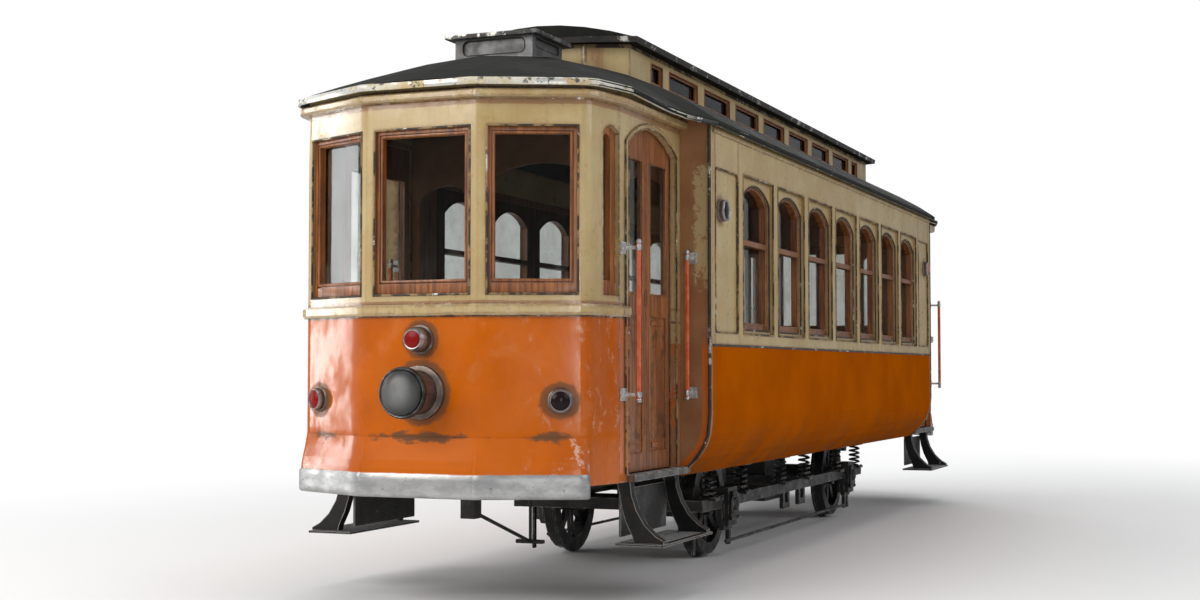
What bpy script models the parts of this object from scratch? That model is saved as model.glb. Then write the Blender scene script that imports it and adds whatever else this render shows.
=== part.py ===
# A double-ended four-wheel electric tram of the early closed type, at full size.
# Metres, +Z up, Y along the body, origin on the ground at the middle of the car.
# The front platform is at -Y; the car is alike at both ends and on both sides.

import math

import bmesh
import bpy
from mathutils import Matrix

for old in list(bpy.data.objects):
    bpy.data.objects.remove(old, do_unlink=True)

# Fits shared by many pieces
SEAT_GAP = 0.0003
RUN_GAP = 0.006
OVERRUN = 0.05
FULL_TURN = 2 * math.pi
TINY = 0.00001
# How far one solid bites into another that it is joined to
BITE = 0.001
# Deeper bites, so that faces of solids that cross don't fall together
BITE_TWO = 0.002
BITE_THREE = 0.003
SPOKE_BITE = 0.005

# Saloon body
BODY_HALF = 1.145
SALOON_END = 3.39
BULKHEAD_THICK = 0.04
LOWER_WALL = 0.035
UPPER_WALL = 0.040
ROCKER_TOP_Z = 1.010
ROCKER_BOTTOM_Z = 0.679
ROCKER_INSET = 0.208
BELT_Z = 1.48
WALL_TOP_Z = 2.95
# Curve of the side panel's lower edge: share of the inset, share of the drop
ROCKER_SHARES = ((0.0, 0.0), (0.058, 0.242), (0.168, 0.429), (0.409, 0.662), (0.764, 0.879), (1.0, 1.0))
ROCKER_POINTS = tuple((ROCKER_INSET * inset, ROCKER_TOP_Z - (ROCKER_TOP_Z - ROCKER_BOTTOM_Z) * drop)
                      for inset, drop in ROCKER_SHARES)

# Saloon windows
WINDOW_COUNT = 7
WINDOW_PITCH = 0.805
POST_WIDTH = 0.115
SILL_Z = 1.56
LINING_THICK = 0.045
SASH_SIDE = 0.060
SASH_BOTTOM = 0.075
ARCH_SPRING_Z = 2.43
ARCH_RISE = 0.10
BAY_HEAD = 0.066
BAY_TOP_Z = ARCH_SPRING_Z + ARCH_RISE + BAY_HEAD
MEETING_RAIL_Z = 2.145
MEETING_RAIL_HIGH = 0.035
GLASS_THICK = 0.006
BLANK_BAY_INNER = 2.87
BLANK_BAY_OUTER = 3.33
BLANK_BAY_DROP = 0.018
BLANK_BAY_TOP_Z = BAY_TOP_Z - BLANK_BAY_DROP
BLANK_RECESS = 0.012
SIDE_LAMP_Y = 3.20
SIDE_LAMP_Z = 2.32
SIDE_LAMP_RADIUS = 0.062
SIDE_LAMP_PROUD = 0.040

# Platform plan, front half at -Y: a flat middle, an angled facet, a round corner, a side that tapers and then
# runs straight back from the grab rail
PLAN_FLAT_HALF = 0.345
PLAN_FRONT = 4.997
PLAN_FACET_ANGLE = math.radians(25)
PLAN_SIDE = 0.950
PLAN_STRAIGHT = 4.440
PLAN_TAPER_ANGLE = math.radians(11)
PLAN_CORNER_RADIUS = 0.090
CORNER_STEPS = 5
PLATFORM_WALL = 0.030
DOOR_FRONT_Y = 4.330
DOOR_REAR_Y = 3.530

# Heights on the platform
DASH_BOTTOM_Z = 0.700
DASH_TOP_Z = 1.617
BELT_MOULD_TOP_Z = 1.685
BELT_MOULD_PROUD = 0.030
BELT_MOULD_EDGE = 0.010
CREASE_Z = 0.96
SKIRT_BOTTOM_Z = 0.765
SKIRT_PROUD = 0.046
SKIRT_EDGE = 0.004
BUMPER_BOTTOM_Z = 0.632
BUMPER_PROUD = 0.058
BUMPER_EDGE = 0.012
# Skirt below the crease: share of how far it stands out, share of its height
SKIRT_SHARES = ((1.00, 0.00), (0.96, 0.12), (0.78, 0.35), (0.50, 0.60), (0.24, 0.85))
# How far the skirt still stands out on the last steps of the round corner
SKIRT_END_SHARES = (0.25, 0.68, 0.93)
CORNICE_BOTTOM_Z = 2.805
CORNICE_TOP_Z = 2.850
CORNICE_PROUD = 0.055
CORNICE_EDGE = 0.010
PLATFORM_WINDOW_BOTTOM_Z = 1.738
PLATFORM_WINDOW_TOP_Z = 2.657
MULLION_HALF = 0.048
FACET_WINDOW_END = 0.546
FRAME_WIDTH = 0.045
FRAME_BOTTOM = 0.085
FRAME_THICK = 0.030
LINING_REAR_Y = 4.360
SIDE_WINDOW_FRONT = 4.602
SIDE_WINDOW_REAR = 4.440
SIDE_WINDOW_SPRING_Z = 2.640
SIDE_WINDOW_RISE = 0.045
DOOR_SPRING_Z = 2.620
DOOR_RISE = 0.115
ARC_STEPS = 8
# Raised strip round a doorway
LIP_WIDTH = 0.026
LIP_PROUD = 0.012
# How far the window cutters reach in from the front and from a facet
FRONT_CUT_REACH = 0.150
FACET_CUT_REACH = 0.100

# Floors and underframe
SALOON_FLOOR_Z = 0.860
SALOON_FLOOR_THICK = 0.060
PLATFORM_FLOOR_Z = 0.735
PLATFORM_FLOOR_THICK = 0.035
SOLE_BAR_INNER = 0.640
SOLE_BAR_OUTER = 0.760
SOLE_BAR_BOTTOM_Z = 0.660
SOLE_BAR_CAB_REACH = 0.400
THRESHOLD_HALF = 1.000
# The life guard's hanger and rods under each platform
GUARD_FRONT = 4.380
GUARD_REAR = 3.560
GUARD_BLOCK = 0.090
GUARD_BLOCK_Z = 0.470
GUARD_LOW_Z = 0.270
GUARD_ROD = 0.011

# Roof
ROOF_THICK = 0.030
ROOF_HALF = 1.200
EAVE_Z = 2.850
CROWN_Z = 3.270
FRONT_EAVE_Z = 2.900
ROOF_STRAIGHT = 3.430
ROOF_TIP = 5.080
ROOF_SECTION_STEPS = 12
# How far the roof's cutting shapes reach over its crown and under its eave
ROOF_CUT_OVER = 0.530
ROOF_CUT_UNDER = 0.450
ABOVE_ALL_Z = CROWN_Z + ROOF_CUT_OVER
BELOW_ROOF_Z = EAVE_Z - ROOF_CUT_UNDER
# End of the roof, one row a section. Shares: of the way from the straight part to the tip, of the half width,
# of the eave's rise, of the crown's height over the front eave; last, how full the section is
ROOF_END_SHARES = (
    (0.000, 1.000, 0.00, 1.000, 2.1),
    (0.061, 0.950, 0.16, 1.000, 2.1),
    (0.139, 0.900, 0.36, 0.994, 2.1),
    (0.285, 0.871, 0.60, 0.946, 2.0),
    (0.497, 0.867, 0.84, 0.784, 1.9),
    (0.612, 0.863, 1.00, 0.662, 1.8),
    (0.721, 0.827, 1.00, 0.520, 1.7),
    (0.794, 0.800, 1.00, 0.405, 1.7),
    (0.830, 0.762, 1.00, 0.343, 1.7),
    (0.867, 0.667, 1.00, 0.284, 1.7),
    (0.927, 0.500, 1.00, 0.170, 1.7),
    (1.000, 0.288, 1.00, 0.032, 1.7),
)

# Clerestory
CLERESTORY_HALF = 0.550
CLERESTORY_END = 3.250
CLERESTORY_BOW = 0.150
CLERESTORY_WALL = 0.030
CLERESTORY_BOTTOM_Z = 3.130
CLERESTORY_TOP_Z = 3.400
CLERESTORY_CROWN = 0.088
CLERESTORY_EAVE = 0.070
CLERESTORY_WINDOW_PITCH = 0.740
CLERESTORY_WINDOW_WIDTH = 0.590
CLERESTORY_WINDOW_BOTTOM_Z = 3.210
CLERESTORY_WINDOW_TOP_Z = 3.345
CLERESTORY_END_WINDOW_WIDTH = 0.220
PIPE_X = 0.280
PIPE_RADIUS = 0.012
BOW_STEPS = 8

# Destination box on the dome
SIGN_HALF = 0.257
SIGN_FRONT = 4.100
SIGN_REAR = 3.660
SIGN_TOP_Z = 3.350
SIGN_LID_THICK = 0.022
SIGN_LID_OVERHANG = 0.045
SIGN_PANEL_DEPTH = 0.012
SIGN_PANEL_BOTTOM_Z = 3.226
SIGN_PANEL_TOP_Z = 3.316
SIGN_PANEL_MARGIN = 0.050
SIGN_PANEL_CORNER = 0.034
SIGN_SIDE_PANEL_BOTTOM_Z = 3.262
PANEL_CORNER_STEPS = 3

# Wheels and truck
AXLE_Y = 1.7475
FLANGE_RADIUS = 0.375
AXLE_Z = FLANGE_RADIUS
TREAD_RADIUS = 0.350
RIM_INNER_RADIUS = 0.275
WHEEL_INNER_X = 0.4675
FLANGE_WIDTH = 0.030
WHEEL_OUTER_X = 0.570
HUB_PROUD = 0.012
HUB_RADIUS = 0.080
AXLE_RADIUS = 0.055
JOURNAL_RADIUS = 0.040
JOURNAL_CLEARANCE = 0.0006
JOURNAL_END_X = 0.715
SPOKE_COUNT = 8
SPOKE_WIDTH = 0.050
SPOKE_THICK = 0.034
WHEEL_STEPS = 24
JOURNAL_STEPS = 12
FRAME_X = 0.690
FRAME_PLATE = 0.034
FRAME_TOP_Z = 0.440
FRAME_BOTTOM_Z = 0.360
FRAME_END_Y = 2.300
PEDESTAL_HALF = 0.150
PEDESTAL_BOTTOM_Z = 0.200
PEDESTAL_HIGH = 0.250
PEDESTAL_PROUD = 0.003
# Horn guide plate: share of its half length either way of the axle, share of its height
PEDESTAL_SHARES = ((-1.15, 1.0), (-1.0, 0.75), (-0.85, 0.20), (-0.55, 0.0), (0.55, 0.0), (0.85, 0.20),
                   (1.0, 0.75), (1.15, 1.0))
BOX_HALF = 0.095
BOX_INNER_X = 0.645
BOX_OUTER_X = 0.745
BOX_BOTTOM_Z = 0.230
BOX_TOP_Z = 0.500
TRANSOM_Y = 0.500
TRANSOM_HALF = 0.040
TIE_ROD_Z = 0.115
TIE_ROD_RADIUS = 0.012
SPRING_OFFSET = 0.355
SPRING_RADIUS = 0.045
SPRING_WIRE = 0.010
SPRING_TURNS = 5.0
SPRING_TURN_STEPS = 6
SPRING_PAD = 0.020
SPRING_PAD_HALF = 0.065
HANGER_NEAR = 0.160
HANGER_FAR = 0.300
HANGER_HALF = 0.022
HANGER_BOTTOM_Z = 0.235
GUARD_IRON_X = 0.594
GUARD_IRON_THICK = 0.014
GUARD_IRON_BOTTOM_Z = 0.060
GUARD_IRON_GAP = 0.060
MOTOR_HALF = 0.300
MOTOR_LENGTH = 0.620
MOTOR_BOTTOM_Z = 0.220
MOTOR_TOP_Z = 0.560

# Steps
STEP_TREAD_Z = 0.350
STEP_TREAD_THICK = 0.014
STEP_OUTER = 1.150
STEP_INNER = 0.860
STEP_FRONT = 4.290
STEP_REAR = 3.420
STEP_BRACKET_WIDTH = 0.060
STEP_BRACKET_FRONT = 4.230
STEP_BRACKET_REAR = 3.480
RISER_THICK = 0.012
RISER_BOTTOM_Z = 0.380
# Side view of a step bracket: share of the tread's depth, share of the height up to the platform
BRACKET_SHARES = ((0.00, 1.00), (0.28, 1.00), (0.31, 0.78), (0.41, 0.53), (0.58, 0.30), (0.80, 0.13),
                  (0.98, 0.05), (0.98, -0.02), (0.36, -0.02), (0.33, 0.10), (0.19, 0.34), (0.10, 0.58),
                  (0.06, 0.80))

# Folding doors
LEAF_LENGTH = 0.390
LEAF_THICK = 0.030
LEAF_BOTTOM_Z = 0.745
LEAF_TOP_Z = 2.755
LEAF_STILE = 0.062
LEAF_GLASS_BOTTOM_Z = 1.775
LEAF_GLASS_TOP_Z = 2.545
LEAF_PANEL_TOP_Z = 1.640
LEAF_PANEL_BOTTOM_Z = 0.850
LEAF_PANEL_DEPTH = 0.008
LEAF_GAP = 0.006
JAMB_GAP = 0.005
KNUCKLE_OUT = 0.004
KNUCKLE_RADIUS = 0.0045
KNUCKLE_LENGTH = 0.100
KNUCKLE_STRAP = 0.030
KNUCKLE_HEIGHTS = (0.95, 1.70, 2.45)
PIVOT_RADIUS = 0.008
PIVOT_STEPS = 12

# Handrails at the doorways
RAIL_BOTTOM_Z = 1.190
RAIL_TOP_Z = 2.010
RAIL_RADIUS = 0.014
FRONT_RAIL_X = 1.050
FRONT_RAIL_Y = 4.400
# From the post's face in to the bulkhead's rail
REAR_RAIL_INSET = 0.120
REAR_RAIL_X = BODY_HALF - REAR_RAIL_INSET
REAR_RAIL_Y = 3.520
RAIL_PLATE = 0.035
RAIL_PLATE_THICK = 0.010
RAIL_ARM_RADIUS = 0.011

# Lamps on the dash
HEADLIGHT_Z = 1.204
HEADLIGHT_RIM = 0.136
HEADLIGHT_PROUD = 0.258
# Headlight from the lens's middle back to the wall: share of the rim's radius, share of how far it stands out
HEADLIGHT_SHARES = ((0.0, 1.0), (0.45, 0.975), (0.72, 0.925), (0.87, 0.86), (0.90, 0.81), (1.0, 0.81),
                    (1.0, 0.73), (0.87, 0.71), (0.87, 0.09), (1.02, 0.06))
TOP_LAMP_Z = 1.493
TOP_LAMP_RADIUS = 0.067
TOP_LAMP_PROUD = 0.095
MARKER_X = 0.7515
MARKER_Z = 1.160
MARKER_RADIUS = 0.060
MARKER_PROUD = 0.045
LAMP_STEPS = 20
LAMP_LENS_SHARE = 0.80
LAMP_RIM_SHARE = 0.60
# Small lamps on the dash: across, height, radius, how far proud
DASH_LAMPS = (
    (0, TOP_LAMP_Z, TOP_LAMP_RADIUS, TOP_LAMP_PROUD),
    (MARKER_X, MARKER_Z, MARKER_RADIUS, MARKER_PROUD),
    (-MARKER_X, MARKER_Z, MARKER_RADIUS, MARKER_PROUD),
)

# Inside
BENCH_FRONT_X = 0.700
BENCH_SEAT_Z = 1.300
BENCH_THICK = 0.045
BENCH_END = 3.200
BENCH_BACK_TOP_Z = 1.470
CONTROLLER_X = -0.330
CONTROLLER_Y = 4.700
CONTROLLER_HALF = 0.120
CONTROLLER_HIGH = 0.900
BRAKE_X = 0.330
BRAKE_POST_RADIUS = 0.030
BRAKE_WHEEL_RADIUS = 0.150
CONTROLS_PLATE_THICK = 0.010
BULKHEAD_DOOR_HALF = 0.360
BULKHEAD_DOOR_TOP_Z = 2.650
BULKHEAD_WINDOW_INNER = 0.480
# From the post's face in to the bulkhead window
BULKHEAD_WINDOW_MARGIN = 0.285
BULKHEAD_WINDOW_OUTER = BODY_HALF - BULKHEAD_WINDOW_MARGIN
BULKHEAD_TOP_Z = 3.100

tram = bpy.data.collections.new("tram")
bpy.context.scene.collection.children.link(tram)

MATERIALS = {}
# Finish name: colour, roughness, metallic
FINISHES = {
    "orange_paint": ((0.78, 0.24, 0.02), 0.30, 0.0),
    "cream_paint": ((0.66, 0.58, 0.36), 0.35, 0.0),
    "brown_paint": ((0.32, 0.17, 0.08), 0.50, 0.0),
    "varnished_wood": ((0.36, 0.14, 0.05), 0.35, 0.0),
    "roof_canvas": ((0.09, 0.09, 0.08), 0.80, 0.0),
    "grey_metal": ((0.42, 0.42, 0.42), 0.35, 0.8),
    "dark_iron": ((0.05, 0.05, 0.05), 0.55, 0.7),
    "black_cast": ((0.03, 0.03, 0.03), 0.40, 0.6),
    "window_glass": ((0.60, 0.66, 0.66), 0.05, 0.0),
    "lamp_metal": ((0.22, 0.20, 0.19), 0.30, 0.9),
    "rail_paint": ((0.62, 0.13, 0.04), 0.35, 0.0),
}


def finish_material(name):
    if name not in MATERIALS:
        colour, roughness, metallic = FINISHES[name]
        material = bpy.data.materials.new(name)
        material.use_nodes = True
        shader = material.node_tree.nodes["Principled BSDF"]
        shader.inputs["Base Color"].default_value = (*colour, 1.0)
        shader.inputs["Roughness"].default_value = roughness
        shader.inputs["Metallic"].default_value = metallic
        MATERIALS[name] = material
    return MATERIALS[name]


def object_from_bmesh(work, name="piece"):
    bmesh.ops.recalc_face_normals(work, faces=work.faces)
    mesh = bpy.data.meshes.new(name)
    work.to_mesh(mesh)
    work.free()
    piece = bpy.data.objects.new(name, mesh)
    tram.objects.link(piece)
    return piece


def evaluated_mesh(piece):
    bpy.context.view_layer.update()
    graph = bpy.context.evaluated_depsgraph_get()
    return bpy.data.meshes.new_from_object(piece.evaluated_get(graph))


def solid_from(piece):
    """Replace an object with modifiers, or a curve, by its evaluated mesh with welded caps."""
    mesh = evaluated_mesh(piece)
    mesh.transform(piece.matrix_world)
    bpy.data.objects.remove(piece, do_unlink=True)
    work = bmesh.new()
    work.from_mesh(mesh)
    bmesh.ops.remove_doubles(work, verts=work.verts, dist=TINY)
    return object_from_bmesh(work)


def box(low, high):
    work = bmesh.new()
    bmesh.ops.create_cube(work, size=1.0)
    size = [b - a for a, b in zip(low, high)]
    middle = [(a + b) / 2 for a, b in zip(low, high)]
    bmesh.ops.scale(work, vec=size, verts=work.verts)
    bmesh.ops.translate(work, vec=middle, verts=work.verts)
    return object_from_bmesh(work)


# Plate frames: which world axis each drawing axis and the thickness run along
ON_SIDE = Matrix(((0, 0, 1, 0), (1, 0, 0, 0), (0, 1, 0, 0), (0, 0, 0, 1)))
ON_END = Matrix(((1, 0, 0, 0), (0, 0, 1, 0), (0, 1, 0, 0), (0, 0, 0, 1)))
ON_FLOOR = Matrix.Identity(4)


def plate(outlines, frame, start, end):
    """A flat outline with holes, from start to end along the frame's third axis."""
    curve = bpy.data.curves.new("outline", "CURVE")
    curve.dimensions = "2D"
    curve.fill_mode = "BOTH"
    curve.extrude = (end - start) / 2
    for outline in outlines:
        spline = curve.splines.new("POLY")
        spline.points.add(len(outline) - 1)
        for point, (across, up) in zip(spline.points, outline):
            point.co = (across, up, 0, 1)
        spline.use_cyclic_u = True
    piece = bpy.data.objects.new("outline", curve)
    tram.objects.link(piece)
    piece.matrix_world = frame @ Matrix.Translation((0, 0, (start + end) / 2))
    return solid_from(piece)


def turned(profile, steps, closed=False):
    """A profile of (radius, height) points turned about Z; it runs down its outer side."""
    mesh = bpy.data.meshes.new("profile")
    points = [(radius, 0, height) for radius, height in profile]
    edges = [(i, i + 1) for i in range(len(points) - 1)]
    if closed:
        edges.append((len(points) - 1, 0))
    mesh.from_pydata(points, edges, [])
    piece = bpy.data.objects.new("profile", mesh)
    tram.objects.link(piece)
    screw = piece.modifiers.new("turn", "SCREW")
    screw.steps = steps
    screw.render_steps = steps
    screw.use_merge_vertices = True
    screw.merge_threshold = TINY
    return solid_from(piece)


def rod(points, radius, resolution=1):
    curve = bpy.data.curves.new("rod", "CURVE")
    curve.dimensions = "3D"
    curve.bevel_depth = radius
    curve.bevel_resolution = resolution
    curve.use_fill_caps = True
    spline = curve.splines.new("POLY")
    spline.points.add(len(points) - 1)
    for point, place in zip(spline.points, points):
        point.co = (*place, 1)
    piece = bpy.data.objects.new("rod", curve)
    tram.objects.link(piece)
    return solid_from(piece)


def move(piece, matrix):
    piece.data.transform(matrix)
    if matrix.determinant() < 0:
        piece.data.flip_normals()
    return piece


def combine(base, tool, operation):
    change = base.modifiers.new("join", "BOOLEAN")
    change.operation = operation
    change.solver = "EXACT"
    change.object = tool
    mesh = evaluated_mesh(base)
    base.modifiers.clear()
    base.data = mesh
    bpy.data.objects.remove(tool, do_unlink=True)
    return base


def fuse(base, *others):
    for other in others:
        combine(base, other, "UNION")
    return base


def cut(base, *tools):
    for tool in tools:
        combine(base, tool, "DIFFERENCE")
    return base


def mirrored(piece, x_sign, y_sign):
    twin = bpy.data.objects.new("piece", piece.data.copy())
    tram.objects.link(twin)
    return move(twin, Matrix.Diagonal((x_sign, y_sign, 1, 1)))


def named(piece, name, finish, smooth_angle=30):
    piece.name = name
    piece.data.name = name
    piece.data.materials.clear()
    piece.data.materials.append(finish_material(finish))
    piece.data.shade_smooth()
    piece.data.set_sharp_from_angle(angle=math.radians(smooth_angle))
    return piece


def at_both_ends(piece, name, finish):
    rear = mirrored(piece, -1, -1)
    named(piece, name + "_front", finish)
    named(rear, name + "_rear", finish)


def at_both_sides(piece, name, finish):
    left = mirrored(piece, -1, 1)
    named(piece, name + "_right", finish)
    named(left, name + "_left", finish)


CORNERS = (("front_right", 1, 1), ("front_left", -1, 1), ("rear_right", 1, -1), ("rear_left", -1, -1))


def at_four_corners(piece, name, finish):
    """The piece is drawn at the front right; the rear ones are turned from front to rear."""
    for corner, x_sign, y_sign in CORNERS[1:]:
        named(mirrored(piece, x_sign, y_sign), name + "_" + corner, finish)
    named(piece, name + "_" + CORNERS[0][0], finish)


def arch_outline(left, right, bottom, spring, rise):
    """A window or door opening with a segmental head."""
    half = (right - left) / 2
    radius = (half * half + rise * rise) / (2 * rise)
    middle = (left + right) / 2
    centre = spring + rise - radius
    sweep = math.asin(half / radius)
    points = [(left, bottom), (right, bottom)]
    for i in range(ARC_STEPS + 1):
        angle = sweep - 2 * sweep * i / ARC_STEPS
        points.append((middle + radius * math.sin(angle), centre + radius * math.cos(angle)))
    return points


def rectangle(left, right, bottom, top):
    return [(left, bottom), (right, bottom), (right, top), (left, top)]


def rounded(left, right, bottom, top, radius):
    """A rectangle with round corners."""
    points = []
    corners = ((right, bottom, -1, 1), (right, top, -1, -1), (left, top, 1, -1), (left, bottom, 1, 1))
    for quarter, (x, y, in_x, in_y) in enumerate(corners):
        for i in range(PANEL_CORNER_STEPS + 1):
            angle = math.pi / 2 * (quarter - 1 + i / PANEL_CORNER_STEPS)
            points.append((x + radius * (in_x + math.cos(angle)), y + radius * (in_y + math.sin(angle))))
    return points


def side_half(distance):
    """Half width of the platform's outside at a distance along the car."""
    return PLAN_SIDE - max(0, distance - PLAN_STRAIGHT) * math.tan(PLAN_TAPER_ANGLE)


def platform_plan(rear, offset=0.0):
    """Outer line of the front platform from the right rear to the left rear, moved out by offset."""
    slope = math.tan(PLAN_FACET_ANGLE)
    taper = math.tan(PLAN_TAPER_ANGLE)
    ahead = PLAN_FRONT + PLAN_FLAT_HALF * slope - PLAN_STRAIGHT
    corner_x = (PLAN_SIDE - ahead * taper) / (1 - slope * taper)
    corner_y = -PLAN_FRONT + (corner_x - PLAN_FLAT_HALF) * slope
    turn = math.pi / 2 - PLAN_FACET_ANGLE - PLAN_TAPER_ANGLE
    tangent = PLAN_CORNER_RADIUS * math.tan(turn / 2)
    reach = PLAN_CORNER_RADIUS * math.cos(PLAN_TAPER_ANGLE)
    rise = PLAN_CORNER_RADIUS * math.sin(PLAN_TAPER_ANGLE)
    centre_x = corner_x + tangent * math.sin(PLAN_TAPER_ANGLE) - reach
    centre_y = corner_y + tangent * math.cos(PLAN_TAPER_ANGLE) + rise
    half = [(side_half(rear), -rear)]
    if rear < PLAN_STRAIGHT:
        half.append((PLAN_SIDE, -PLAN_STRAIGHT))
    for i in range(CORNER_STEPS + 1):
        angle = -PLAN_TAPER_ANGLE - turn * i / CORNER_STEPS
        half.append((centre_x + PLAN_CORNER_RADIUS * math.cos(angle),
                     centre_y + PLAN_CORNER_RADIUS * math.sin(angle)))
    half.append((PLAN_FLAT_HALF, -PLAN_FRONT))
    path = half + [(-x, y) for x, y in reversed(half)]
    line = moved_out(path, offset)
    if rear > PLAN_STRAIGHT:
        end = side_half(rear) + offset / math.cos(PLAN_TAPER_ANGLE)
        line[0], line[-1] = (end, -rear), (-end, -rear)
    return line


def moved_out(path, offset):
    """Each point of an open path moved outward by offset, with mitred corners."""
    normals = []
    for (ax, ay), (bx, by) in zip(path, path[1:]):
        length = math.hypot(bx - ax, by - ay)
        normals.append(((ay - by) / length, (bx - ax) / length))
    result = []
    for i, (x, y) in enumerate(path):
        before = normals[max(i - 1, 0)]
        after = normals[min(i, len(normals) - 1)]
        scale = 1 + before[0] * after[0] + before[1] * after[1]
        result.append((x + offset * (before[0] + after[0]) / scale,
                       y + offset * (before[1] + after[1]) / scale))
    return result


def swept(path_of, profile):
    """A closed profile of (out, height) points swept along the plan line; path_of gives the line at an offset."""
    work = bmesh.new()
    rows = []
    for out, height in profile:
        rows.append([work.verts.new((x, y, height)) for x, y in path_of(out)])
    count = len(rows[0])
    for i in range(len(rows)):
        one, two = rows[i], rows[(i + 1) % len(rows)]
        for j in range(count - 1):
            work.faces.new((one[j], one[j + 1], two[j + 1], two[j]))
    work.faces.new([row[0] for row in rows])
    work.faces.new([row[-1] for row in reversed(rows)])
    return object_from_bmesh(work)


def roof_section(half, eave, crown, fullness):
    """Points across the roof from eave to eave."""
    points = []
    for i in range(ROOF_SECTION_STEPS + 1):
        share = math.sin(math.pi / 2 * (2 * i / ROOF_SECTION_STEPS - 1))
        points.append((half * share, eave + (crown - eave) * (1 - abs(share) ** fullness)))
    return points


def roof_rows():
    """Sections from end to end: place along the car, half width, eave height, crown height, fullness."""
    rows = []
    for along_share, half_share, eave_share, crown_share, fullness in ROOF_END_SHARES:
        rows.append((ROOF_STRAIGHT + (ROOF_TIP - ROOF_STRAIGHT) * along_share, ROOF_HALF * half_share,
                     EAVE_Z + (FRONT_EAVE_Z - EAVE_Z) * eave_share,
                     FRONT_EAVE_Z + (CROWN_Z - FRONT_EAVE_Z) * crown_share, fullness))
    return [(-row[0], *row[1:]) for row in reversed(rows)] + rows


def roof_solid(upper, lower):
    """The roof's surface as a solid; upper and lower give each face's height from the surface's height."""
    work = bmesh.new()
    grids = []
    for height_of in (upper, lower):
        grid = []
        for y, half, eave, crown, fullness in roof_rows():
            section = roof_section(half, eave, crown, fullness)
            row = [work.verts.new((x, y, height_of(z))) for x, z in section]
            grid.append(row)
        grids.append(grid)
    top, bottom = grids
    rows, columns = len(top), len(top[0])
    for grid in grids:
        for i in range(rows - 1):
            for j in range(columns - 1):
                work.faces.new((grid[i][j], grid[i][j + 1], grid[i + 1][j + 1]))
                work.faces.new((grid[i][j], grid[i + 1][j + 1], grid[i + 1][j]))
    for i in range(rows - 1):
        for j in (0, columns - 1):
            work.faces.new((top[i][j], top[i + 1][j], bottom[i + 1][j], bottom[i][j]))
    for j in range(columns - 1):
        for i in (0, rows - 1):
            work.faces.new((top[i][j], top[i][j + 1], bottom[i][j + 1], bottom[i][j]))
    return object_from_bmesh(work)


def trim_under_roof(piece):
    return cut(piece, roof_solid(lambda z: ABOVE_ALL_Z, lambda z: z - ROOF_THICK - SEAT_GAP))


def trim_over_roof(piece):
    return cut(piece, roof_solid(lambda z: z + SEAT_GAP, lambda z: BELOW_ROOF_Z))


def clerestory_plan(offset):
    """Closed plan of the clerestory with bowed ends."""
    half = CLERESTORY_HALF + offset
    end = CLERESTORY_END + offset
    points = []
    for sign in (-1, 1):
        for i in range(BOW_STEPS + 1):
            share = 1 - 2 * i / BOW_STEPS
            points.append((-sign * half * share, sign * (end + CLERESTORY_BOW * (1 - share * share))))
    return points


def rocker_line(offset):
    """Side section from the belt down to the rocker's lower edge, moved in by offset."""
    points = [(BODY_HALF - offset, BELT_Z - SEAT_GAP)]
    points += [(BODY_HALF - offset - inset, height) for inset, height in ROCKER_POINTS]
    return points


def rocker_half(height):
    """Half width of the body's outside at a height on the rocker."""
    for (inset, upper), (next_inset, lower) in zip(ROCKER_POINTS, ROCKER_POINTS[1:]):
        if lower <= height <= upper:
            share = (upper - height) / (upper - lower)
            return BODY_HALF - inset - share * (next_inset - inset)
    return BODY_HALF


BULKHEAD_OUTER_Y = SALOON_END + BULKHEAD_THICK
PLATFORM_REAR_Y = BULKHEAD_OUTER_Y + SEAT_GAP
PLATFORM_UNDER_Z = PLATFORM_FLOOR_Z - PLATFORM_FLOOR_THICK
# The dash and the platform band start here, ahead of the flat door surrounds
SURROUND_FRONT = PLAN_STRAIGHT + SEAT_GAP
WALL_INSIDE = PLAN_SIDE - PLATFORM_WALL
LEAF_OUTER_X = WALL_INSIDE - RUN_GAP
LEAF_INNER_X = LEAF_OUTER_X - LEAF_THICK
SALOON_FLOOR_UNDER_Z = SALOON_FLOOR_Z - SALOON_FLOOR_THICK


def make_underframe():
    """The saloon floor and the two sole bars that run under it and on under both platforms."""
    inside = rocker_half(SALOON_FLOOR_UNDER_Z) - LOWER_WALL - SEAT_GAP
    end = SALOON_END - SEAT_GAP
    floor = box((-inside, -end, SALOON_FLOOR_UNDER_Z), (inside, end, SALOON_FLOOR_Z))
    sole_end = DOOR_FRONT_Y + SOLE_BAR_CAB_REACH
    top = PLATFORM_UNDER_Z - SEAT_GAP
    for sign in (-1, 1):
        low, high = sorted((sign * SOLE_BAR_INNER, sign * SOLE_BAR_OUTER))
        fuse(floor, box((low, -sole_end, SOLE_BAR_BOTTOM_Z), (high, sole_end, top)))
        fuse(floor, box((low + BITE, -end + OVERRUN, top - BITE), (high - BITE, end - OVERRUN,
                                                                   SALOON_FLOOR_UNDER_Z + BITE)))
    named(floor, "underframe", "dark_iron")


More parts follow.
